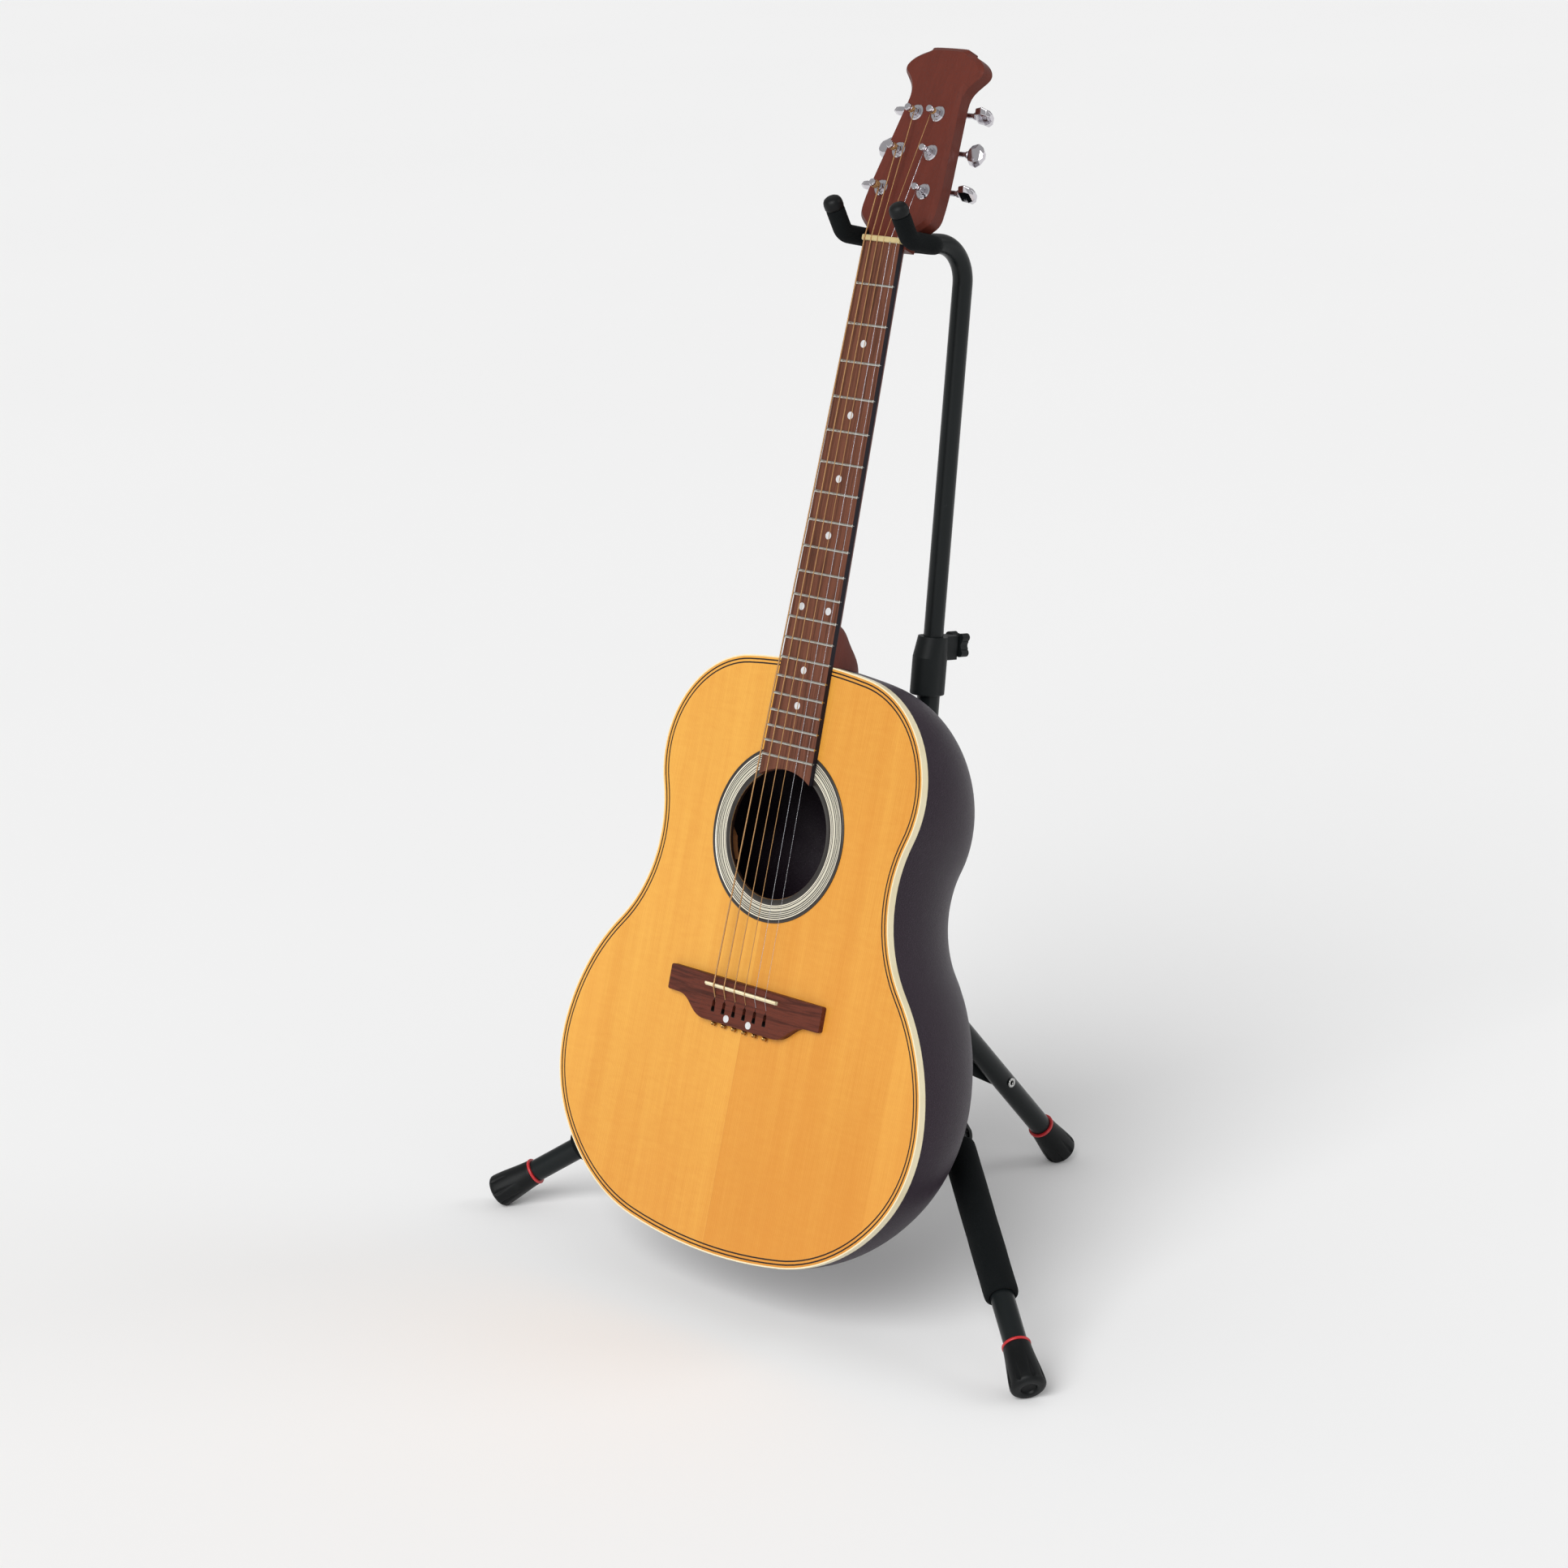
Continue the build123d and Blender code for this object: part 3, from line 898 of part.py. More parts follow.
def make_runner():
    z = -PIVOT_BELOW - RUNNER_BELOW_PIVOTS
    runner = disc(RUNNER_RADIUS, RUNNER_HEIGHT, 0, 0, z - RUNNER_HEIGHT / 2)
    runner = fillet(runner.edges(), 1.2)
    x1 = BRACE_X + BRACE_STRAP_THICKNESS + RIVET_FLANGE + 0.3
    pins = []
    for azimuth in LEGS.values():
        frame = radial(azimuth)
        lug = block(x1, x1 + RUNNER_LUG_THICKNESS, 0, RUNNER_PIVOT_RADIUS, z - RUNNER_HEIGHT / 2, z + RUNNER_HEIGHT / 2)
        lug += x_cylinder(RUNNER_HEIGHT / 2, x1, x1 + RUNNER_LUG_THICKNESS, RUNNER_PIVOT_RADIUS, z)
        lug += block(0, x1 + RUNNER_LUG_THICKNESS, -RUNNER_LUG_ROOT, RUNNER_LUG_ROOT,
                     z - RUNNER_HEIGHT / 2, z + RUNNER_HEIGHT / 2)
        runner += frame * mirror(lug, about=Plane.YZ)
    for azimuth in LEGS.values():
        frame = radial(azimuth)
        pin = x_cylinder(RUNNER_PIN_RADIUS, BRACE_X - 0.4, x1 + RUNNER_LUG_THICKNESS, RUNNER_PIVOT_RADIUS, z)
        runner -= frame * mirror(pin, about=Plane.YZ)
        heads = x_cylinder(RUNNER_PIN_RADIUS + 2.4, BRACE_X - 0.9, BRACE_X - 0.3, RUNNER_PIVOT_RADIUS, z)
        heads += x_cylinder(RUNNER_PIN_RADIUS + 1.6, x1 + RUNNER_LUG_THICKNESS, x1 + RUNNER_LUG_THICKNESS + 1.2,
                            RUNNER_PIVOT_RADIUS, z)
        pins.append((frame * mirror(pin + heads, about=Plane.YZ)).solid())
    boss = y_cylinder(RUNNER_BOSS_RADIUS, RUNNER_RADIUS + RUNNER_BOSS_REACH, 0, 0, z)
    runner += radial(RUNNER_KNOB_AZIMUTH) * boss
    runner -= disc(LOWER_TUBE_RADIUS + RUNNING_CLEARANCE, 60, 0, 0, z - 30)
    runner -= radial(RUNNER_KNOB_AZIMUTH) * y_cylinder(SCREW_RADIUS + RUNNING_CLEARANCE / 2, 60, 0, 0, z)
    knob = radial(RUNNER_KNOB_AZIMUTH) * knob_solid(LOWER_TUBE_RADIUS + 0.05, RUNNER_RADIUS + RUNNER_BOSS_REACH + 0.4, z)
    return {"brace_runner": Compound(children=runner.solids() + pins), "runner_knob": knob}


# ================================================================ assembly
def make_guitar():
    nodes, body_outer = make_body()
    nodes.update(make_neck(body_outer))
    bridge_nodes, slot_y = make_bridge()
    nodes.update(bridge_nodes)
    nodes.update(make_strings(slot_y))
    for index in range(len(STRING_POSTS)):
        groove = string_run(index, slot_y, FITTED_CLEARANCE / 2)
        for name in ("nut", "bridge"):
            nodes[name] -= groove
    nodes.update(make_tuners())
    nodes["strap_button"] = make_strap_button() - body_outer
    return nodes


GUITAR_FRAME = Location((0, -NUT_FORWARD, HUB_HEIGHT + NUT_RISE_OVER_HUB), (90 - GUITAR_LEAN, 0, 0))


def main():
    placed = {name: GUITAR_FRAME * shape for name, shape in make_guitar().items()}
    stand = make_mast()
    stand["leg_hub"] = make_hub()
    for name in LEGS:
        stand.update(make_leg(name))
    stand.update(make_runner())
    placed.update({name: MAST_FRAME * shape for name, shape in stand.items()})
    for name in LEGS:
        placed[f"foot_{name}"] -= block(-500, 500, -500, 500, -50, 0)
    boxes = [shape.bounding_box() for shape in placed.values()]
    middle = (min(box.min.Y for box in boxes) + max(box.max.Y for box in boxes)) / 2
    os.makedirs("parts", exist_ok=True)
    for name, shape in placed.items():
        export_step(Location((0, -middle, 0)) * shape, f"parts/{name}.step")
    return placed, middle


if __name__ == "__main__":
    main()
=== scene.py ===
"""Looks of a round-backed acoustic guitar on its folding tripod stand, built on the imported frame."""

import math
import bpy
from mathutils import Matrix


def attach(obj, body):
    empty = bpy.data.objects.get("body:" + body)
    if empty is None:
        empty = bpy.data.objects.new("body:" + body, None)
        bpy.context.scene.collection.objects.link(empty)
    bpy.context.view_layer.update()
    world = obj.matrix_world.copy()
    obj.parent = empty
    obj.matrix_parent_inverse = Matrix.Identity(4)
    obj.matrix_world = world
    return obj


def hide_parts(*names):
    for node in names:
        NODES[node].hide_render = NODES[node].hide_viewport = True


bl_info = {
    "name": "Guitar on Folding Stand",
    "version": (1, 0, 0),
    "blender": (4, 5, 0),
    "location": "View3D > Sidebar > Guitar",
    "description": "Finishes, strings, foam sleeves and feet of a guitar on a stand",
    "category": "Object",
}

import bmesh
import bpy
from bpy.props import FloatProperty, FloatVectorProperty, IntProperty, PointerProperty
from mathutils import Matrix, Vector, noise

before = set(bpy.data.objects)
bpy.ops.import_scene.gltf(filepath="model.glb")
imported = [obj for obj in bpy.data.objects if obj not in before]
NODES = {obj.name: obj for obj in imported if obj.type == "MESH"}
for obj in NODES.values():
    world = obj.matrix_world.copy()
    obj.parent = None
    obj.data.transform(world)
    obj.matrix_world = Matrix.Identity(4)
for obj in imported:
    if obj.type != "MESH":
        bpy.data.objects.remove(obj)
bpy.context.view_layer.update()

MM = 0.001
LEGS = {"right": 61.9, "left": -61.9, "rear": 180.0}
LEG_SPREAD = {"right": 54.6, "left": 54.6, "rear": 49.4}


def turn(degrees, axis):
    return Matrix.Rotation(math.radians(degrees), 4, axis)


def shift(x, y, z):
    return Matrix.Translation((x * MM, y * MM, z * MM))


# The guitar's bench frame: X across, Y up the neck, Z out of the soundboard, origin at the nut.
GUITAR = shift(0, 16.766, 885.315) @ turn(72.5, "X")
HEAD = GUITAR @ shift(0, 0, -3.2) @ turn(-11.5, "X")
# The stand's mast frame: Z up the mast, origin above the legs' pivots.
MAST = shift(0, 23.675, 244) @ turn(-8.8, "X")
TOP_Z = -5.2
HOLE_Y = -503.6
HOLE_RADIUS = 55.0
ROSETTE_WIDTH = 21.0
BOARD_END_Y = -449.1
BOARD_HALF_AT_HOLE = 29.55
SADDLE_Y = -641.0
BRIDGE_TOP = 2.8
NUT_SPACING = 7.3
SADDLE_SPACING = 12.2


def at(matrix, x, y, z):
    """A point given in millimetres in one of the object's frames."""
    return matrix @ Vector((x * MM, y * MM, z * MM))


def leg_frame(name):
    """Frame at a leg's pivot with Z along the leg."""
    return MAST @ turn(180 + LEGS[name], "Z") @ shift(0, 26, -20) @ turn(180 + LEG_SPREAD[name], "X")


def local_box(node, matrix):
    """Lowest and highest corner of a CAD node in a frame, in millimetres."""
    back = matrix.inverted()
    points = [(back @ vertex.co) / MM for vertex in NODES[node].data.vertices]
    low = Vector([min(point[axis] for point in points) for axis in range(3)])
    high = Vector([max(point[axis] for point in points) for axis in range(3)])
    return low, high


def linear(value):
    return value / 12.92 if value <= 0.04045 else ((value + 0.055) / 1.055) ** 2.4


def tint(red, green, blue):
    """A colour as a mixing chart gives it, 0 to 255 a channel, for a shader."""
    return (linear(red / 255), linear(green / 255), linear(blue / 255))


def rgba(colour, scale=1.0):
    return tuple(min(1.0, channel * scale) for channel in tuple(colour)[:3]) + (1.0,)


# ---------------------------------------------------------------- shader writing
def arithmetic(operation, swapped=False):
    """A Python operator that adds a node to the sum."""
    def method(value, other=0.0):
        first, second = (other, value) if swapped else (value, other)
        return value.nodes.math(operation, first, second)
    return method


class Value:
    """A shader socket that can be used in sums."""

    def __init__(self, nodes, socket):
        self.nodes = nodes
        self.socket = socket

    __add__ = arithmetic("ADD")
    __radd__ = arithmetic("ADD", swapped=True)
    __sub__ = arithmetic("SUBTRACT")
    __mul__ = arithmetic("MULTIPLY")
    __truediv__ = arithmetic("DIVIDE")
    __pow__ = arithmetic("POWER")
    __abs__ = arithmetic("ABSOLUTE")
    __gt__ = arithmetic("GREATER_THAN")
    __lt__ = arithmetic("LESS_THAN")


class Nodes:
    """A node tree that is written as Python expressions."""

    def __init__(self, tree):
        self.tree = tree
        tree.nodes.clear()

    def add(self, kind, settings=None, sockets=None, output=0):
        """A node of any type: its settings first, then its sockets' values or links."""
        node = self.tree.nodes.new(kind)
        for name, value in (settings or {}).items():
            if name == "stops":
                elements = node.color_ramp.elements
                while len(elements) < len(value):
                    elements.new(1.0)
                for element, (place, colour) in zip(elements, value):
                    element.position = place
                    element.color = colour
            elif name == "ramp":
                node.color_ramp.interpolation = value
            else:
                setattr(node, name, value)
        for name, value in (sockets or {}).items():
            if isinstance(value, Value):
                self.tree.links.new(value.socket, node.inputs[name])
            else:
                node.inputs[name].default_value = value
        return Value(self, node.outputs[output] if node.outputs else None)

    def math(self, operation, first, second):
        return self.add("ShaderNodeMath", {"operation": operation}, {0: first, 1: second})

    def sine(self, value):
        return self.math("SINE", value, 0.0)

    def join(self, x, y, z):
        return self.add("ShaderNodeCombineXYZ", None, {0: x, 1: y, 2: z})

    def split(self, vector):
        node = self.add("ShaderNodeSeparateXYZ", None, {0: vector}).socket.node
        return [Value(self, output) for output in node.outputs]

    def inside(self, matrix):
        """The surface's point in one of the object's own frames, in millimetres."""
        place, spin, _ = matrix.decompose()
        point = self.add("ShaderNodeTexCoord", output="Object")
        return self.add("ShaderNodeMapping", {"vector_type": "TEXTURE"},
                        {0: point, 1: place, 2: spin.to_euler("XYZ"), 3: (MM, MM, MM)})

    def facing(self, matrix):
        """The surface's normal in one of the object's own frames."""
        spin = matrix.decompose()[1]
        normal = self.add("ShaderNodeTexCoord", output="Normal")
        return self.add("ShaderNodeMapping", {"vector_type": "TEXTURE"}, {0: normal, 2: spin.to_euler("XYZ")})

    def noise(self, vector, scale, detail=2.0, roughness=0.5, distortion=0.0):
        sockets = {"Vector": vector, "Scale": scale, "Detail": detail, "Roughness": roughness}
        return self.add("ShaderNodeTexNoise", None, {**sockets, "Distortion": distortion})

    def cells(self, vector, scale):
        return self.add("ShaderNodeTexVoronoi", None, {"Vector": vector, "Scale": scale})

    def fade(self, value, low, high, start=0.0, end=1.0):
        """Eased change from start to end while value goes from low to high."""
        return self.add("ShaderNodeMapRange", {"interpolation_type": "SMOOTHSTEP"},
                        {0: value, 1: low, 2: high, 3: start, 4: end})

    def blend(self, factor, first, second):
        """Two colours mixed."""
        return self.add("ShaderNodeMix", {"data_type": "RGBA"}, {0: factor, 6: first, 7: second}, output=2)

    def steps(self, factor, stops):
        """Plain colours side by side, each from its own place on."""
        return self.add("ShaderNodeValToRGB", {"stops": stops, "ramp": "CONSTANT"}, {0: factor})

    def bump(self, height, distance, strength=1.0):
        sockets = {"Height": height, "Distance": distance, "Strength": strength}
        return self.add("ShaderNodeBump", None, sockets)


def finish(name, draw, *details):
    """A material whose nodes are drawn by a function that returns the shader's sockets."""
    old = bpy.data.materials.get(name)
    if old:
        bpy.data.materials.remove(old)
    material = bpy.data.materials.new(name)
    material.use_nodes = True
    nodes = Nodes(material.node_tree)
    shader = nodes.add("ShaderNodeBsdfPrincipled", None, draw(nodes, *details))
    nodes.add("ShaderNodeOutputMaterial", None, {0: shader})
    return material


# ---------------------------------------------------------------- finishes
def spruce_top(top, look):
    """Bookmatched amber spruce under a thin satin lacquer, with painted shade: the right half and the tail
    end are darker.
    """
    x, y, _ = top.split(top.inside(GUITAR))
    half = abs(x)
    right = x > 0.0
    drift = top.noise(top.join(half * 0.011, y * 0.0035, right * 7.0), 1.0, 2.0)
    rings = top.sine((half + drift * 26.0) * 4.3) * 0.5 + 0.5
    fine = top.noise(top.join(half * 1.3, y * 0.014, right * 3.0), 1.0, 3.0, 0.6)
    bands = top.noise(top.join(half * 0.055, y * 0.0022, right * 9.0), 1.0, 3.0, 0.55)
    silk = top.noise(top.join(x * 0.06, y * 0.2, 2.0), 1.0, 3.0, 0.6, 0.4)
    clouds = top.noise(top.join(x * 0.009, y * 0.006, 5.0), 1.0, 2.0)
    amount = (rings ** 3.0) * 0.17 + (fine - 0.5) * 0.5 + (bands - 0.5) * 0.6 + (silk - 0.5) * 0.28 + 0.4
    # Painted shade: the right half (right * 0.22) and the lower end towards the tail are darkened, as light
    # falls there.
    amount = amount + right * 0.22 + top.fade(y, -600.0, -860.0, 0.0, 0.2)
    colour = top.blend(top.fade(amount, -0.1, 1.1), rgba(look.spruce, 1.06), rgba(look.spruce_late))
    wing = top.fade(half + (bands - 0.5) * 6.0, 171.0, 173.0) * 0.14
    colour = top.blend(wing, colour, rgba(tint(238, 182, 84)))
    colour = top.blend((clouds - 0.35) * 0.35, colour, rgba(tint(226, 150, 62)))
    seam = top.fade(half, 0.35, 0.0) * 0.35
    colour = top.blend(seam, colour, rgba(tint(170, 100, 40)))
    from_hole = ((x * x) + (y - HOLE_Y) * (y - HOLE_Y)) ** 0.5
    colour = top.blend(from_hole < HOLE_RADIUS + 0.25, colour, rgba(tint(38, 24, 19)))
    return {"Base Color": colour, "Roughness": 0.36 + (fine - 0.5) * 0.16 + (clouds - 0.5) * 0.1,
            "Specular IOR Level": 0.32, "Coat Weight": 0.14, "Coat Roughness": 0.22,
            "Normal": top.bump(rings * 0.35 + fine * 0.8, 0.00006)}


def raw_spruce(wood):
    """Unfinished spruce inside the body."""
    x, y, z = wood.split(wood.inside(GUITAR))
    grain = wood.noise(wood.join((x + y) * 0.03, (x - y) * 0.9, z * 0.9), 1.0, 3.0)
    colour = wood.blend(grain, rgba(tint(190, 128, 76)), rgba(tint(142, 88, 50)))
    return {"Base Color": colour, "Roughness": 0.75 + (grain - 0.5) * 0.2, "Normal": wood.bump(grain, 0.0001)}


def cream_binding(edge, look):
    """Ivoroid binding and saddle: fine long grain in a waxy cream plastic."""
    x, y, z = edge.split(edge.inside(GUITAR))
    lines = edge.noise(edge.join(x * 0.5, y * 0.05, z * 3.0), 1.0, 3.0)
    soil = edge.noise(edge.join(x * 0.02, y * 0.02, z * 0.02), 1.0, 2.0)
    colour = edge.blend(lines, rgba(look.binding, 1.05), rgba(look.binding, 0.9))
    colour = edge.blend(edge.fade(soil, 0.5, 0.8) * 0.3, colour, rgba(tint(214, 186, 128)))
    return {"Base Color": colour, "Roughness": 0.28 + (lines - 0.5) * 0.1, "Subsurface Weight": 0.05,
            "Coat Weight": 0.2, "Coat Roughness": 0.15}


def black_line(line):
    """Dyed fibre lines let into the top."""
    fleck = line.noise(line.inside(GUITAR), 1.6, 2.0)
    return {"Base Color": line.blend(fleck, rgba(tint(20, 14, 11)), rgba(tint(34, 24, 18))),
            "Roughness": 0.4 + fleck * 0.15, "Specular IOR Level": 0.35}


ROSETTE_EDGES = (60.3, 61.1, 61.8, 62.5, 63.3, 65.3, 66.2, 67.2, 67.9, 68.8, 69.7, 70.5, 71.3, 72.3)
ROSETTE_TONES = "kwkwkpkpkpkpkwk"


def rosette(ring):
    """Rings of pale and black plastic round the hole, told apart by their distance from its middle."""
    x, y, _ = ring.split(ring.inside(GUITAR))
    radius = ((x * x) + (y - HOLE_Y) * (y - HOLE_Y)) ** 0.5
    tones = {"k": rgba(tint(22, 17, 16)), "w": rgba(tint(233, 226, 206)), "p": rgba(tint(204, 199, 180))}
    places = [0.0] + [(edge - HOLE_RADIUS) / ROSETTE_WIDTH for edge in ROSETTE_EDGES]
    stops = [(place, tones[tone]) for place, tone in zip(places, ROSETTE_TONES)]
    colour = ring.steps((radius - HOLE_RADIUS) / ROSETTE_WIDTH, stops)
    haze = ring.noise(ring.join(x, y, 0.0), 0.05, 2.0)
    colour = ring.blend(haze * 0.08, colour, rgba(tint(150, 142, 126)))
    return {"Base Color": colour, "Roughness": 0.24 + haze * 0.12, "Coat Weight": 0.3, "Coat Roughness": 0.12}


def mahogany(wood, look):
    """Red-brown satin mahogany with short open pores."""
    x, y, z = wood.split(wood.inside(GUITAR))
    figure = wood.noise(wood.join(x * 0.05, y * 0.004, z * 0.05), 1.0, 3.0, 0.55, 0.6)
    streaks = wood.noise(wood.join(x * 0.45, y * 0.012, z * 0.45), 1.0, 4.0, 0.6)
    pores = wood.noise(wood.join(x * 2.3, y * 0.11, z * 2.3), 1.0, 2.0)
    marks = wood.fade(pores, 0.58, 0.72)
    amount = figure * 0.6 + streaks * 0.55 - 0.1
    colour = wood.blend(amount, rgba(look.mahogany, 1.3), rgba(look.mahogany, 0.66))
    colour = wood.blend(marks * 0.45, colour, rgba(tint(58, 26, 22)))
    return {"Base Color": colour, "Roughness": 0.42 + (streaks - 0.5) * 0.15 + marks * 0.1,
            "Specular IOR Level": 0.18, "Coat Weight": 0.03, "Coat Roughness": 0.3,
            "Normal": wood.bump(streaks * 0.4 - marks, 0.00008)}


def rosewood(wood, look, lengthwise):
    """Oiled rosewood: dark drifting streaks and fine pores along the grain."""
    across, along, z = wood.split(wood.inside(GUITAR))
    if not lengthwise:
        across, along = along, across
    drift = wood.noise(wood.join(across * 0.03, along * 0.006, z * 0.1), 1.0, 2.0)
    streak = wood.noise(wood.join(across * 0.34 + drift * 3.0, along * 0.009, z * 0.3), 1.0, 4.0, 0.62)
    fibre = wood.noise(wood.join(across * 1.7, along * 0.03, z), 1.0, 3.0, 0.6)
    pores = wood.fade(wood.noise(wood.join(across * 3.4, along * 0.16, z * 3.0), 1.0, 2.0), 0.6, 0.72)
    dark = wood.fade(streak, 0.44, 0.68)
    light = look.rosewood if lengthwise else look.bridge_wood
    colour = wood.blend(fibre, rgba(light, 1.28), rgba(light, 0.72))
    colour = wood.blend(dark * 0.78, colour, rgba(light, 0.36))
    colour = wood.blend(pores * 0.5, colour, rgba(tint(48, 27, 22)))
    return across, along, colour, fibre, pores


def fingerboard(wood, look):
    """Rosewood board with black-stained sides."""
    _, _, colour, fibre, pores = rosewood(wood, look, True)
    side = abs(wood.split(wood.facing(GUITAR))[0]) > 0.7
    colour = wood.blend(side, colour, rgba(tint(31, 27, 34)))
    return {"Base Color": colour, "Roughness": 0.55 + (fibre - 0.5) * 0.2, "Specular IOR Level": 0.15,
            "Normal": wood.bump(fibre * 0.5 - pores, 0.0001)}


def bridge_wood(wood, look):
    """Rosewood bridge with painted shade, a dark drop shape, in each string's slot."""
    y, x, colour, fibre, pores = rosewood(wood, look, False)
    nearest = wood.math("PINGPONG", x + 12.5 * SADDLE_SPACING, SADDLE_SPACING / 2)
    depth = wood.add("ShaderNodeMapRange", None, {0: y, 1: -661.0, 2: -650.0, 3: 2.1, 4: 0.0})
    # Painted shade: a near-black drop where each string dives into its slot.
    slot_shade = (nearest < depth) * (y > -663.4) * (abs(x) < 34.0)
    colour = wood.blend(slot_shade, colour, rgba(tint(20, 13, 11)))
    return {"Base Color": colour, "Roughness": 0.5 + (fibre - 0.5) * 0.2, "Specular IOR Level": 0.18,
            "Coat Weight": 0.04, "Coat Roughness": 0.35, "Normal": wood.bump(fibre * 0.5 - pores, 0.0001)}


def bowl_composite(shell, look):
    """Moulded composite with a fine stippled skin, dark aubergine with paler specks."""
    point = shell.inside(GUITAR)
    stipple = shell.noise(point, 0.75, 3.0, 0.6)
    specks = shell.fade(shell.noise(point, 1.25, 1.0), 0.62, 0.74)
    drift = shell.noise(point, 0.012, 2.0)
    colour = shell.blend(stipple, rgba(look.bowl, 0.7), rgba(look.bowl, 1.3))
    colour = shell.blend(specks * 0.3, colour, rgba(tint(104, 92, 108)))
    colour = shell.blend((drift - 0.4) * 0.3, colour, rgba(tint(58, 44, 50)))
    return {"Base Color": colour, "Roughness": 0.42 + (stipple - 0.5) * 0.25, "Specular IOR Level": 0.14,
            "Sheen Weight": 0.02, "Sheen Roughness": 0.4, "Sheen Tint": rgba(tint(190, 170, 215)),
            "Normal": shell.bump(stipple, 0.0004)}


def metal(part, colour, roughness, scratch, frame_matrix=GUITAR):
    """Polished or brushed metal with faint handling marks."""
    point = part.inside(frame_matrix)
    smudge = part.noise(point, 0.09, 3.0)
    fine = part.noise(point, 1.8, 2.0)
    tone = part.blend(smudge, rgba(colour, 1.04), rgba(colour, 0.9))
    return {"Base Color": tone, "Metallic": 1.0, "Roughness": roughness + (smudge - 0.4) * scratch,
            "Normal": part.bump(fine, 0.000012)}


def wound_string(wire, look):
    """Bronze wrap: a tight ripple along the string, with painted highlight on the turns and painted shade
    between them.
    """
    _, y, _ = wire.split(wire.inside(GUITAR))
    ripple = wire.sine(y * 16.0) * 0.5 + 0.5
    tarnish = wire.noise(wire.join(0.0, y * 0.02, 0.0), 1.0, 2.0)
    # Painted light and shade: the ripple makes the turns lighter and the gaps between them darker.
    colour = wire.blend(ripple * 0.4 + tarnish * 0.4, rgba(look.bronze, 1.2), rgba(look.bronze, 0.6))
    return {"Base Color": colour, "Metallic": 0.85, "Roughness": 0.32 + tarnish * 0.1,
            "Normal": wire.bump(ripple, 0.00006)}


def pearl(dot):
    """Pale inlay with a faint shimmer."""
    cloud = dot.noise(dot.inside(GUITAR), 0.4, 3.0, 0.6, 1.2)
    colour = dot.blend(cloud, rgba(tint(226, 226, 224)), rgba(tint(176, 178, 182)))
    return {"Base Color": colour, "Roughness": 0.22 + cloud * 0.1, "Coat Weight": 0.4, "Coat Roughness": 0.1}


def bone_nut(nut):
    """Cream nut with a faint random cloud of darker cream."""
    x, y, z = nut.split(nut.inside(GUITAR))
    cloud = nut.noise(nut.join(x * 0.2, y * 0.4, z * 0.6), 1.0, 3.0)
    colour = nut.blend(cloud, rgba(tint(200, 181, 134)), rgba(tint(178, 157, 108)))
    return {"Base Color": colour, "Roughness": 0.3 + cloud * 0.1, "Subsurface Weight": 0.06,
            "Coat Weight": 0.15}


def tube_paint(paint, look):
    """Satin black powder coat on tube: a faint orange peel and a few rougher rubbed places, painted lighter
    in the grey of the tube's highlights.
    """
    point = paint.inside(MAST)
    peel = paint.noise(point, 0.55, 2.0)
    drift = paint.noise(point, 0.02, 2.0)
    # Partly painted highlight: random rubbed places, rougher and lighter in the grey of the tube's
    # highlights.
    rubs_and_highlight = paint.fade(paint.noise(point, 0.11, 4.0, 0.7), 0.66, 0.8)
    colour = paint.blend(drift, rgba(look.tube, 0.85), rgba(look.tube, 1.2))
    colour = paint.blend(rubs_and_highlight * 0.18, colour, rgba(tint(70, 74, 75)))
    return {"Base Color": colour, "Roughness": 0.3 + (peel - 0.5) * 0.08 + rubs_and_highlight * 0.1,
            "Specular IOR Level": 0.2, "Coat Weight": 0.02, "Coat Roughness": 0.2,
            "Normal": paint.bump(peel, 0.00005)}


def moulded_black(plastic, look):
    """Moulded black plastic with a fine spark-eroded grain."""
    point = plastic.inside(MAST)
    grain = plastic.noise(point, 1.4, 3.0, 0.6)
    drift = plastic.noise(point, 0.05, 2.0)
    colour = plastic.blend(drift, rgba(look.plastic, 0.85), rgba(look.plastic, 1.15))
    return {"Base Color": colour, "Roughness": 0.5 + (grain - 0.5) * 0.2, "Specular IOR Level": 0.2,
            "Normal": plastic.bump(grain, 0.00012)}


def foam(sleeve, look):
    """Closed-cell foam: matt, with a skin of tiny open cells and handling dust."""
    point = sleeve.inside(MAST)
    cell = sleeve.cells(point, 1.15)
    cloud = sleeve.noise(point, 0.06, 3.0)
    dust = sleeve.fade(sleeve.noise(point, 0.5, 3.0, 0.7), 0.55, 0.8)
    colour = sleeve.blend(cell, rgba(look.foam, 0.7), rgba(look.foam, 1.25))
    colour = sleeve.blend(dust * 0.16 + (cloud - 0.4) * 0.12, colour, rgba(tint(42, 46, 47)))
    return {"Base Color": colour, "Roughness": 0.9 + (cell - 0.5) * 0.1, "Specular IOR Level": 0.08,
            "Sheen Weight": 0.015, "Sheen Roughness": 0.6, "Normal": sleeve.bump(cell, 0.00035, 0.6)}


def rubber(foot, look):
    """Black rubber with a faint bloom and mould sheen."""
    point = foot.inside(MAST)
    bloom = foot.noise(point, 0.07, 3.0, 0.6)
    grain = foot.noise(point, 1.1, 2.0)
    colour = foot.blend(foot.fade(bloom, 0.45, 0.75) * 0.35, rgba(look.rubber), rgba(tint(26, 29, 30)))
    return {"Base Color": colour, "Roughness": 0.46 + (bloom - 0.5) * 0.25, "Specular IOR Level": 0.2,
            "Normal": foot.bump(grain, 0.00008)}


def red_band(band, look):
    """Glossy red rubber trim."""
    point = band.inside(MAST)
    mark = band.noise(point, 0.2, 3.0)
    colour = band.blend(mark, rgba(look.ring, 1.15), rgba(look.ring, 0.75))
    return {"Base Color": colour, "Roughness": 0.34 + mark * 0.12, "Coat Weight": 0.15, "Coat Roughness": 0.2}


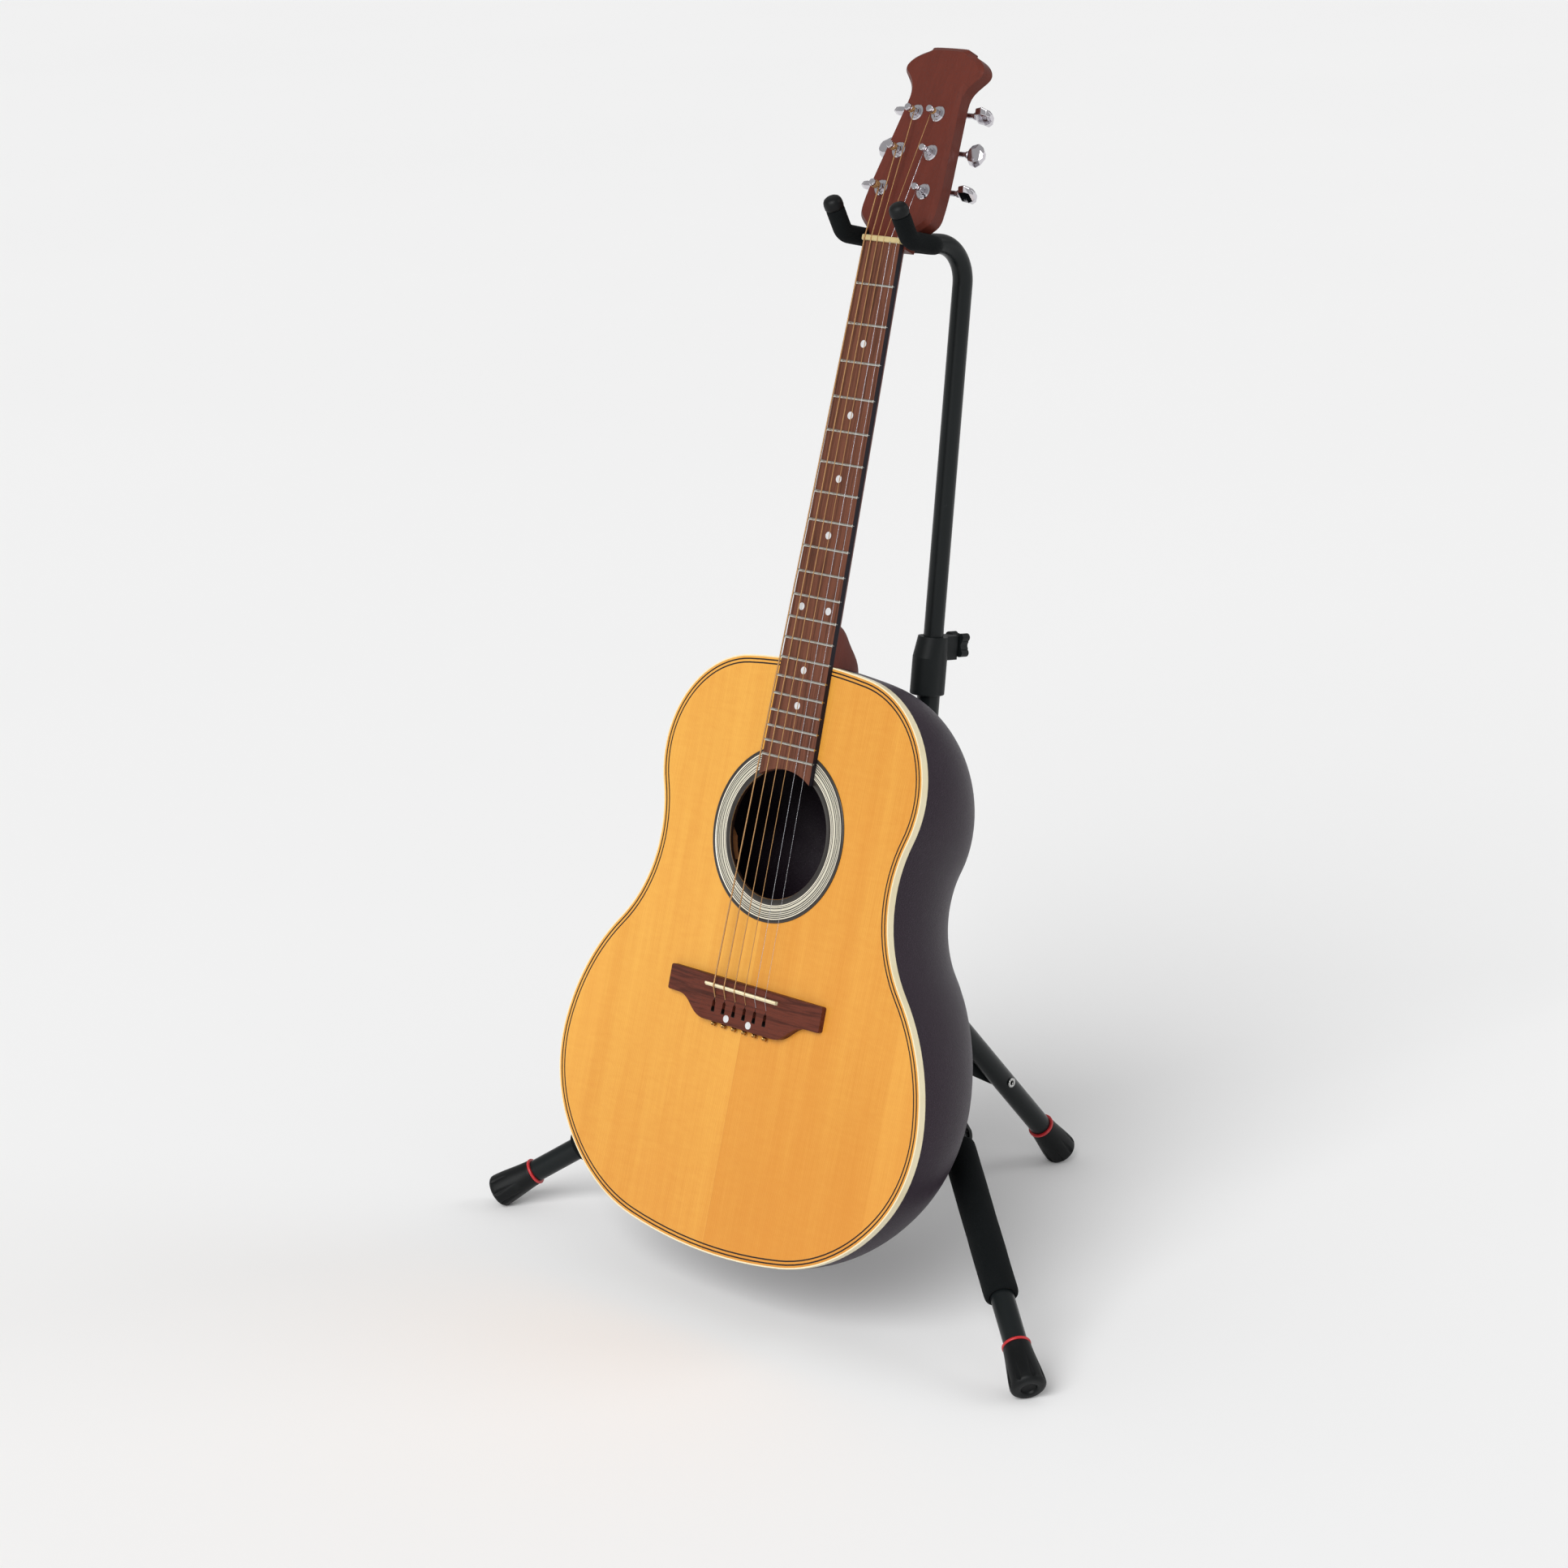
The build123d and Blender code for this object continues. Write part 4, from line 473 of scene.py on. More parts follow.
def strap_paint(strap, look):
    """Black-painted steel strap, a little rougher than the tubes."""
    point = strap.inside(MAST)
    peel = strap.noise(point, 0.8, 3.0)
    worn = strap.fade(strap.noise(point, 0.16, 4.0, 0.7), 0.62, 0.78)
    colour = strap.blend(worn * 0.25, rgba(look.tube, 0.9), rgba(tint(88, 90, 92)))
    return {"Base Color": colour, "Roughness": 0.42 + (peel - 0.5) * 0.15, "Specular IOR Level": 0.4,
            "Normal": strap.bump(peel, 0.00008)}


# ---------------------------------------------------------------- piece making
def new_piece(name, shape, material, body, flat=False):
    """A mesh piece in the row frame that rides on a body."""
    old = bpy.data.objects.get(name)
    if old:
        bpy.data.objects.remove(old)
    bmesh.ops.recalc_face_normals(shape, faces=shape.faces)
    mesh = bpy.data.meshes.new(name)
    shape.to_mesh(mesh)
    shape.free()
    mesh.materials.append(material)
    for polygon in mesh.polygons:
        polygon.use_smooth = not flat
    piece = bpy.data.objects.new(name, mesh)
    bpy.context.scene.collection.objects.link(piece)
    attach(piece, body)
    return piece


def bridge_rings(shape, rings, closed_ends=True):
    """Faces between rings of vertices, a ring of one vertex being a pole."""
    for low, high in zip(rings, rings[1:]):
        count = max(len(low), len(high))
        for index in range(count):
            after = (index + 1) % count
            if len(low) == 1:
                shape.faces.new((low[0], high[after], high[index]))
            elif len(high) == 1:
                shape.faces.new((low[index], low[after], high[0]))
            else:
                shape.faces.new((low[index], low[after], high[after], high[index]))
    if closed_ends:
        for ring in (rings[0], rings[-1]):
            if len(ring) > 2:
                shape.faces.new(ring)


def lathe(profile, matrix, segments=48, shape=None, relief=None, ends="closed"):
    """Surface turned about the frame's Z from (radius, height) pairs in millimetres.

    Its ends are closed, open, or looped when the profile runs back to its own start."""
    shape = shape or bmesh.new()
    rings = []
    for radius, height in profile:
        if radius <= 1e-6:
            rings.append([shape.verts.new(matrix @ Vector((0, 0, height * MM)))])
            continue
        ring = []
        for index in range(segments):
            angle = 2 * math.pi * index / segments
            reach = (radius - (relief(angle, height, radius) if relief else 0.0)) * MM
            place = Vector((reach * math.cos(angle), reach * math.sin(angle), height * MM))
            ring.append(shape.verts.new(matrix @ place))
        rings.append(ring)
    if ends == "looped":
        rings.append(rings[0])
    bridge_rings(shape, rings, closed_ends=ends == "closed")
    return shape


def along(points, radii, segments=12, shape=None, wobble=None):
    """Round section carried along points in metres, turned as little as possible from one to the next."""
    shape = shape or bmesh.new()
    rings = []
    heading = (points[1] - points[0]).normalized()
    side = heading.orthogonal().normalized()
    for index, point in enumerate(points):
        ahead = points[min(index + 1, len(points) - 1)]
        behind = points[max(index - 1, 0)]
        heading = (ahead - behind).normalized()
        side = (side - heading * side.dot(heading)).normalized()
        other = heading.cross(side)
        ring = []
        for step in range(segments):
            angle = 2 * math.pi * step / segments
            outward = side * math.cos(angle) + other * math.sin(angle)
            reach = radii[index] if hasattr(radii, "__len__") else radii
            if wobble:
                reach += wobble(point + outward * reach)
            ring.append(shape.verts.new(point + outward * reach))
        rings.append(ring)
    bridge_rings(shape, rings)
    return shape


ARC_STEPS = 12


def rounded_line(points, radii, step):
    """Points along a line whose inner corners are arcs of the given radii, a step apart."""
    corners = [points[0]]
    for before, here, after, radius in zip(points, points[1:], points[2:], radii):
        back = (before - here).normalized()
        ahead = (after - here).normalized()
        half = back.angle(ahead) / 2
        reach = radius / math.tan(half)
        centre = here + (back + ahead).normalized() * (radius / math.sin(half))
        start = here + back * reach
        end = here + ahead * reach
        for part in range(ARC_STEPS + 1):
            outward = (start - centre) * (1 - part / ARC_STEPS) + (end - centre) * part / ARC_STEPS
            corners.append(centre + outward.normalized() * radius)
    corners.append(points[-1])
    line = [corners[0]]
    for start, end in zip(corners, corners[1:]):
        pieces = max(1, round((end - start).length / step))
        line.extend(start.lerp(end, part / pieces) for part in range(1, pieces + 1))
    return line


def wear(piece, *names):
    """Gives CAD nodes one material."""
    for name in names:
        mesh = NODES[name].data
        mesh.materials.clear()
        mesh.materials.append(piece)


def soften(width, *names):
    """Small rounded edges on hard CAD nodes, so that they catch the light."""
    for name in names:
        bevel = NODES[name].modifiers.new("edges", "BEVEL")
        bevel.width = width * MM
        bevel.segments = 2
        bevel.limit_method = "ANGLE"
        bevel.angle_limit = math.radians(40)
        bevel.harden_normals = True
        bevel.use_clamp_overlap = True


# ---------------------------------------------------------------- settings
def colour_property(name, description, default):
    return FloatVectorProperty(name=name, description=description, subtype="COLOR", size=3, min=0, max=1,
                               default=default)


class GuitarLook(bpy.types.PropertyGroup):
    spruce: colour_property("Spruce", "Early wood of the soundboard", tint(223, 169, 75))
    spruce_late: colour_property("Late wood", "Darker lines of the soundboard", tint(203, 132, 45))
    binding: colour_property("Binding", "Edge of the body", tint(236, 222, 184))
    mahogany: colour_property("Mahogany", "Neck and headstock", tint(94, 42, 32))
    rosewood: colour_property("Fingerboard", "Rosewood of the fingerboard", tint(108, 66, 50))
    bridge_wood: colour_property("Bridge", "Rosewood of the bridge", tint(95, 45, 32))
    bowl: colour_property("Bowl", "Moulded back", tint(40, 30, 40))
    bronze: colour_property("Wound strings", "Bronze wrap", tint(184, 142, 96))
    chrome: colour_property("Tuners", "Plated parts", tint(214, 211, 216))


class StandLook(bpy.types.PropertyGroup):
    tube: colour_property("Tubes", "Powder coat", tint(20, 24, 25))
    plastic: colour_property("Plastic", "Clamp, hub, runner and knobs", tint(17, 21, 22))
    foam: colour_property("Foam", "Sleeves of the yoke and legs", tint(13, 16, 17))
    rubber: colour_property("Feet", "Rubber feet", tint(10, 12, 13))
    ring: colour_property("Rings", "Trim above the feet", tint(186, 32, 38))
    flutes: IntProperty(name="Flutes", description="Grooves round each foot", default=8, min=3, max=16)
    flute_depth: FloatProperty(name="Flute depth", description="Depth of a foot's grooves", default=1.5 * MM,
                               min=0, max=3 * MM, unit="LENGTH")


class StringSizes(bpy.types.PropertyGroup):
    thickest: FloatProperty(name="Thickest", description="Gauge of the lowest string", default=1.35 * MM,
                            min=0.9 * MM, max=1.6 * MM, unit="LENGTH")
    thinnest: FloatProperty(name="Thinnest", description="Gauge of the highest string", default=0.30 * MM,
                            min=0.2 * MM, max=0.45 * MM, unit="LENGTH")
    wraps: FloatProperty(name="Wraps", description="Turns of string round each post", default=3.2,
                         min=1, max=5)


class Studio(bpy.types.PropertyGroup):
    camera_place: FloatVectorProperty(name="Camera", description="Place of the camera", subtype="TRANSLATION",
                                      size=3, default=(2.2509, -2.3613, 1.3782))
    camera_turn: FloatVectorProperty(name="Camera turn", description="Direction of the camera",
                                     subtype="EULER", size=3,
                                     default=tuple(math.radians(a) for a in (73.627, 1.870, 44.578)))
    lens: FloatProperty(name="Lens", description="Focal length in millimetres", default=90.22,
                        min=20, max=300)
    key: FloatProperty(name="Key", description="Strength of the main light", default=2.4, min=0, max=20)
    rim: FloatProperty(name="Rim", description="Strength of the light from behind", default=0.4,
                       min=0, max=20)
    horizon: FloatProperty(name="Horizon", description="Brightness of the room near the floor", default=0.92,
                           min=0, max=4)
    ceiling: FloatProperty(name="Ceiling", description="Brightness of the room overhead", default=0.44,
                           min=0, max=4)


# ---------------------------------------------------------------- guitar
MIDDLE_GAUGES = (1.07, 0.82, 0.62, 0.41)
WOUND_COUNT = 4
STRING_POSTS = ("bass_1", "bass_2", "bass_3", "treble_3", "treble_2", "treble_1")
POST_PLACES = {"1": (24.0, 47.5), "2": (18.2, 81.8), "3": (12.2, 116.0)}
BUTTON_TURNS = {"bass_1": 70, "bass_2": 5, "bass_3": 65, "treble_1": 62, "treble_2": 12, "treble_3": 58}
HEAD_EDGES = {"1": 39.96, "2": 35.83, "3": 30.7}
WIND_START = 6.2
WIND_STEPS = 20
POST_WAIST = 2.25
STRING_END_Z = -1.6
STRING_BENDS = (2.0, 2.0, 1.0, 1.0, 4.0, 4.0)
SPOOL = ((0, -1.7), (1.9, -1.7), (1.95, -1.3), (1.35, -0.8), (1.35, 0.8), (1.95, 1.3), (1.9, 1.7), (0, 1.7))
BUTTON_STATIONS = ((0.0, 3.6, 2.5), (2.6, 8.2, 3.5), (9.4, 10.0, 3.8), (14.2, 7.4, 3.2), (17.0, 3.4, 1.9))
BUTTON_FACETS = ((1, 0.12), (0.58, 1), (-0.58, 1), (-1, 0.12), (-1, -0.12), (-0.58, -1), (0.58, -1),
                 (1, -0.12))
HOLE_RING_PROFILE = (
    (55.35, 0.0), (55.4, 0.3), (55.7, 0.46), (59.8, 0.48), (60.2, 0.36), (62.3, 0.36), (62.5, 0.48),
    (63.9, 0.48), (64.1, 0.36), (66.3, 0.36), (66.5, 0.48), (67.9, 0.48), (68.1, 0.36), (70.5, 0.36),
    (70.7, 0.48), (72.2, 0.5), (72.5, 0.95), (73.1, 1.08), (74.6, 1.08), (75.2, 0.85), (75.35, 0.0))


def post_side(name):
    return 1 if name.startswith("treble") else -1


class GUITAR_OT_body(bpy.types.Operator):
    """Finishes the soundboard, its edge, the hole's rings and the bowl"""

    bl_idname = "guitar.body"
    bl_label = "Body"

    def execute(self, context):
        look = context.scene.guitar_look
        wear(finish("spruce_top", spruce_top, look), "soundboard")
        wear(finish("cream_binding", cream_binding, look), "top_binding", "saddle")
        wear(finish("black_lines", black_line), "purfling_lines")
        self.hole_rings(finish("rosette", rosette))
        wear(finish("raw_spruce", raw_spruce), "soundboard_braces", "rim_lining",
             "neck_block")
        wear(finish("bowl_composite", bowl_composite, look), "bowl_shell")
        return {"FINISHED"}

    def hole_rings(self, material):
        """Moulded rings round the hole that stop against the fingerboard's sides."""
        steps = 200
        loops = []
        shape = bmesh.new()
        for step in range(steps + 1):
            loop = []
            for radius, rise in HOLE_RING_PROFILE:
                start = math.asin((BOARD_HALF_AT_HOLE + 0.08) / radius)
                angle = start + (2 * math.pi - 2 * start) * step / steps
                place = at(GUITAR, radius * math.sin(angle), HOLE_Y + radius * math.cos(angle), TOP_Z + rise)
                loop.append(shape.verts.new(place))
            loops.append(loop)
        bridge_rings(shape, loops)
        piece = new_piece("hole_rings", shape, material, "guitar")
        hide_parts("rosette_rings")


class GUITAR_OT_neck(bpy.types.Operator):
    """Finishes the neck, the fingerboard and what is let into it"""

    bl_idname = "guitar.neck"
    bl_label = "Neck"

    def execute(self, context):
        look = context.scene.guitar_look
        wear(finish("mahogany", mahogany, look), "neck")
        board = finish("fingerboard", fingerboard, look)
        wear(board, "fingerboard")
        self.board_corners(board)
        wear(finish("fret_wire", metal, tint(206, 203, 194), 0.24, 0.12), "frets", "truss_rod")
        wear(finish("pearl", pearl), "position_dots")
        wear(finish("bone", bone_nut), "nut")
        return {"FINISHED"}

    def board_corners(self, material):
        """The fingerboard's two corners that reach down beside the hole, scooped along its edge."""
        shape = bmesh.new()
        reach = HOLE_RADIUS + 0.1
        inner = math.asin(8.4 / reach)
        outer = math.asin(BOARD_HALF_AT_HOLE / reach)
        steps = 16
        for side in (-1, 1):
            outline = []
            for step in range(steps + 1):
                angle = inner + (outer - inner) * step / steps
                outline.append((side * reach * math.sin(angle), HOLE_Y + reach * math.cos(angle)))
            outline += [(side * BOARD_HALF_AT_HOLE, BOARD_END_Y - 0.01), (side * 8.8, BOARD_END_Y - 0.01)]
            loops = [[shape.verts.new(at(GUITAR, x, y, z)) for x, y in outline]
                     for z in (TOP_Z + 0.01, -0.01)]
            bridge_rings(shape, loops)
        new_piece("board_corners", shape, material, "guitar", flat=True)


class GUITAR_OT_bridge(bpy.types.Operator):
    """Finishes the bridge and adds its two pale caps"""

    bl_idname = "guitar.bridge"
    bl_label = "Bridge"

    def execute(self, context):
        look = context.scene.guitar_look
        wear(finish("bridge_wood", bridge_wood, look), "bridge")
        shape = bmesh.new()
        for side in (-1, 1):
            profile = [(0, -0.3), (3.2, -0.3), (3.2, 0.15), (3.0, 0.32), (2.0, 0.42), (0, 0.45)]
            lathe(profile, GUITAR @ shift(13.2 * side, -666.2, BRIDGE_TOP), 32, shape)
        new_piece("bridge_caps", shape, bpy.data.materials["pearl"], "guitar")
        return {"FINISHED"}


class GUITAR_OT_strings(bpy.types.Operator):
    """Lays the six strings from the bridge to their posts, with the turns round each post"""

    bl_idname = "guitar.strings"
    bl_label = "Strings"

    def execute(self, context):
        look = context.scene.guitar_look
        sizes = context.scene.string_sizes
        bronze = finish("bronze_wrap", wound_string, look)
        steel = finish("plain_steel", metal, tint(196, 196, 202), 0.22, 0.1)
        brass = finish("brass_ends", metal, tint(170, 132, 78), 0.35, 0.1)
        gauges = (sizes.thickest / MM, *MIDDLE_GAUGES, sizes.thinnest / MM)
        ends = bmesh.new()
        for index, gauge in enumerate(gauges):
            post = STRING_POSTS[index]
            side = post_side(post)
            across, level_along = POST_PLACES[post[-1]]
            radius = gauge / 2
            nut_x = NUT_SPACING * (index - 2.5)
            saddle_x = SADDLE_SPACING * (index - 2.5)
            over_nut = 1.9 + radius
            over_saddle = BRIDGE_TOP + 3.4 + radius + 0.06
            run = [
                at(HEAD, side * (across - 2.3 - radius), level_along - 0.5, WIND_START),
                at(GUITAR, nut_x, 3.6, over_nut - 0.1),
                at(GUITAR, nut_x, 0.6, over_nut),
                at(GUITAR, saddle_x, SADDLE_Y + 0.8, over_saddle),
                at(GUITAR, saddle_x, SADDLE_Y - 1.2, over_saddle - 0.35),
                at(GUITAR, saddle_x, SADDLE_Y - 15.6, -0.6),
                at(GUITAR, saddle_x, SADDLE_Y - 21.0, STRING_END_Z),
                at(GUITAR, saddle_x, SADDLE_Y - 31.4, STRING_END_Z),
            ]
            line = rounded_line(run, [bend * MM for bend in STRING_BENDS], 12 * MM)
            material = bronze if index < WOUND_COUNT else steel
            slot = "bronze_string" if index < WOUND_COUNT else "steel"
            piece = new_piece(f"string_{index + 1}", along(line, radius * MM, 10), material, "guitar")
            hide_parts("wound_strings" if index < WOUND_COUNT else "plain_strings")
            self.wind(index, post, side, across, level_along, radius, material, slot, sizes.wraps)
            place = GUITAR @ shift(saddle_x, SADDLE_Y - 32.6, STRING_END_Z) @ turn(90, "Y")
            lathe(SPOOL, place, 20, ends)
        new_piece("string_ends", ends, brass, "guitar")
        return {"FINISHED"}

    def wind(self, index, post, side, across, level_along, radius, material, slot, wraps):
        reach = POST_WAIST + radius
        turns = wraps if index < WOUND_COUNT else wraps + 0.8
        points = []
        for step in range(int(turns * WIND_STEPS) + 1):
            start = math.pi if side > 0 else 2 * math.pi
            angle = start - side * 2 * math.pi * step / WIND_STEPS
            rise = WIND_START + step / WIND_STEPS * radius * 2.06
            points.append(at(HEAD, side * across + reach * math.cos(angle),
                             level_along + reach * math.sin(angle), rise))
        shape = along(points, radius * MM, 8)
        new_piece(f"string_turns_{index + 1}", shape, material, f"tuner_post_{post}")


class GUITAR_OT_tuners(bpy.types.Operator):
    """Finishes posts, bushings and cases, and shapes the faceted buttons"""

    bl_idname = "guitar.tuners"
    bl_label = "Tuners"

    def execute(self, context):
        look = context.scene.guitar_look
        chrome = finish("chrome", metal, look.chrome, 0.07, 0.1)
        names = [f"{side}_{row}" for side in ("bass", "treble") for row in (1, 2, 3)]
        wear(chrome, "tuner_cases", "tuner_bushings", *[f"tuner_post_{name}" for name in names])
        for name in names:
            self.button(name, chrome)
        return {"FINISHED"}

    def button(self, name, chrome):
        """A button of flat facets on a turned shaft."""
        side = post_side(name)
        across, level_along = POST_PLACES[name[-1]]
        tip = HEAD_EDGES[name[-1]] + 6.0
        base = HEAD @ shift(0, level_along + 7.65, -19.7)
        outward = base @ turn(90 * side, "Y")
        start = across - 5.8
        shaft = [(0, start), (2.1, start), (2.35, across + 7.6), (3.4, across + 7.6), (3.4, across + 9.4),
                 (2.4, across + 9.8), (2.4, tip - 2.4), (3.3, tip - 2.0), (3.3, tip + 0.3), (0, tip + 0.3)]
        shape = lathe(shaft, outward, 24)
        spun = base @ turn(side * BUTTON_TURNS[name], "X")
        rings = [[shape.verts.new(at(spun, side * (tip + reach), edge * wide, rise * thick))
                  for edge, rise in BUTTON_FACETS] for reach, wide, thick in BUTTON_STATIONS]
        bridge_rings(shape, rings)
        piece = new_piece(f"button_{name}", shape, chrome, f"tuner_button_{name}", flat=True)
        for polygon in piece.data.polygons:
            polygon.use_smooth = len(polygon.vertices) == 4 and polygon.area < 3.0 * MM * MM
        bevel = piece.modifiers.new("edges", "BEVEL")
        bevel.width = 0.35 * MM
        bevel.segments = 2
        bevel.limit_method = "ANGLE"
        bevel.angle_limit = math.radians(12)
        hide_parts(f"tuner_button_{name}")


class GUITAR_OT_strap_button(bpy.types.Operator):
    """Finishes the strap button at the tail"""

    bl_idname = "guitar.strap_button"
    bl_label = "Strap button"

    def execute(self, context):
        wear(bpy.data.materials["chrome"], "strap_button")
        return {"FINISHED"}


# ---------------------------------------------------------------- stand
YOKE_ROD = 4.0
YOKE_FOAM = 8.0
PRONG_LENGTH = 39.0
PRONG_RISE = 4.0
RIVET_ALONG = 157.0
RIVET_PROFILE = ((2.2, -0.75), (4.5, -0.75), (4.55, -0.2), (4.0, 0.3), (3.1, 0.5), (2.3, 0.15), (1.75, -0.75))
FOAM_SHRINK = 0.12
FOAM_BORE_LIMIT = 12.0
FOAM_END = ((10.3, 1.2), (11.6, 0.25), (13.0, 0.35), (14.0, 1.3), (14.45, 2.8))
FLUTE_TOP = 0.36
FLUTE_BOTTOM = 0.93
SOLE = ((9.4, 0.1), (7.4, 0.2), (6.9, 0.8), (6.7, 2.2), (6.2, 2.6), (0, 2.7))
CAP_PROFILE = ((0, -0.6), (7.6, -0.6), (8.25, 0.2), (8.35, 1.6), (8.3, 4.0), (7.9, 6.2), (6.9, 8.1),
               (5.2, 9.3), (3.0, 9.85), (0, 10.0))


class STAND_OT_mast(bpy.types.Operator):
    """Finishes the tubes, the height clamp and its knob"""

    bl_idname = "stand.mast"
    bl_label = "Mast"

    def execute(self, context):
        look = context.scene.stand_look
        paint = finish("tube_paint", tube_paint, look)
        plastic = finish("moulded_black", moulded_black, look)
        wear(paint, "lower_tube", "upper_tube", "yoke_rod")
        wear(plastic, "lower_tube_plug", "height_clamp", "clamp_knob", "yoke_headpiece")
        soften(0.5, "height_clamp", "clamp_knob")
        return {"FINISHED"}


class STAND_OT_yoke(bpy.types.Operator):
    """Shapes the yoke's foam sleeves and their domed caps"""

    bl_idname = "stand.yoke"
    bl_label = "Yoke"

    def execute(self, context):
        look = context.scene.stand_look
        soft = finish("black_foam", foam, look)
        low, high = local_box("yoke_rod", MAST)
        base_y = high.y - YOKE_ROD
        level = low.z + YOKE_ROD
        half = high.x - YOKE_ROD
        front = base_y - PRONG_LENGTH
        caps = bmesh.new()
        for side, name in ((-1, "left"), (1, "right")):
            corners = [(side * half, front - 14.0, level + 25.0), (side * half, front, level + PRONG_RISE),
                       (side * half, base_y, level), (side * 9.15, base_y, level)]
            points = [MAST @ (Vector(corner) * MM) for corner in corners]
            line = rounded_line(points, [13.0 * MM, 14.0 * MM], 1.6 * MM)
            length = sum((b - a).length for a, b in zip(line, line[1:]))
            radii = []
            travelled = 0.0
            for index, point in enumerate(line):
                travelled += (point - line[max(index - 1, 0)]).length
                near = min(travelled, length - travelled)
                radii.append((YOKE_FOAM - 1.6 * max(0.0, 1 - near / (2.2 * MM)) ** 2) * MM)
            shape = along(line, radii, 40, wobble=lambda place: 0.14 * MM * noise.noise(place * 90))
            sleeve = new_piece(f"yoke_sleeve_{name}", shape, soft, "upper_mast")
            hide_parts("yoke_foam")
            tip = points[0]
            direction = (points[0] - points[1]).normalized()
            turned = direction.to_track_quat("Z", "Y").to_matrix().to_4x4()
            lathe(CAP_PROFILE, Matrix.Translation(tip) @ turned, 48, caps)
        caps_piece = new_piece("yoke_domes", caps, finish("yoke_domes", rubber, look),
                               "upper_mast")
        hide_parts("yoke_caps")
        return {"FINISHED"}


class STAND_OT_tripod(bpy.types.Operator):
    """Finishes the hub, the runner, the legs and their straps"""

    bl_idname = "stand.tripod"
    bl_label = "Tripod"

    def execute(self, context):
        look = context.scene.stand_look
        plastic = bpy.data.materials["moulded_black"]
        wear(bpy.data.materials["tube_paint"], *[f"leg_{name}" for name in LEGS])
        wear(plastic, "leg_hub", "brace_runner", "runner_knob")
        wear(finish("strap_paint", strap_paint, look), *[f"brace_{name}" for name in LEGS])
        wear(finish("red_band", red_band, look), *[f"foot_ring_{name}" for name in LEGS])
        soften(0.4, "leg_hub", "brace_runner", "runner_knob")
        rivet = finish("rivet_steel", metal, tint(190, 190, 188), 0.2, 0.12, MAST)
        for name in LEGS:
            self.rivet(name, rivet)
        return {"FINISHED"}

    def rivet(self, name, material):
        """A bright hollow rivet on each side of the leg."""
        shape = bmesh.new()
        frame_here = leg_frame(name) @ shift(0, 0, RIVET_ALONG)
        strap_side = local_box(f"brace_{name}", leg_frame(name))
        for side, reach in ((-1, -strap_side[0].x), (1, strap_side[1].x)):
            outward = frame_here @ shift(side * reach, 0, 0) @ turn(90 * side, "Y")
            lathe(RIVET_PROFILE, outward, 32, shape, ends="open")
        new_piece(f"rivet_{name}", shape, material, f"leg_{name}")


class STAND_OT_leg_sleeves(bpy.types.Operator):
    """Shapes the foam sleeves of the two front legs"""

    bl_idname = "stand.leg_sleeves"
    bl_label = "Leg sleeves"

    def execute(self, context):
        soft = bpy.data.materials["black_foam"]
        for name in ("left", "right"):
            matrix = leg_frame(name)
            low, high = local_box(f"leg_foam_{name}", matrix)
            outer = high.x
            length = high.z - low.z
            profile = [*FOAM_END, (outer - 0.05, 5.0)]
            steps = 46
            body = [(outer - 0.05, 5.0 + (length - 10.0) * step / steps) for step in range(1, steps)]
            tail = [(radius, length - height) for radius, height in reversed(profile)]
            rings = [(radius, low.z + height) for radius, height in profile + body + tail]
            shape = lathe(rings, matrix, 56, relief=self.dents, ends="looped")
            sleeve = new_piece(f"leg_sleeve_{name}", shape, soft, f"leg_{name}")
            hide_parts(f"leg_foam_{name}")
        return {"FINISHED"}

    @staticmethod
    def dents(angle, height, radius):
        """How far the foam's skin lies below its drawn radius; only its outside is uneven."""
        if radius <= FOAM_BORE_LIMIT:
            return FOAM_SHRINK
        place = Vector((math.cos(angle) * 0.9, math.sin(angle) * 0.9, height * 0.045))
        return FOAM_SHRINK - 0.22 * noise.noise(place) - 0.08 * noise.noise(place * 4)


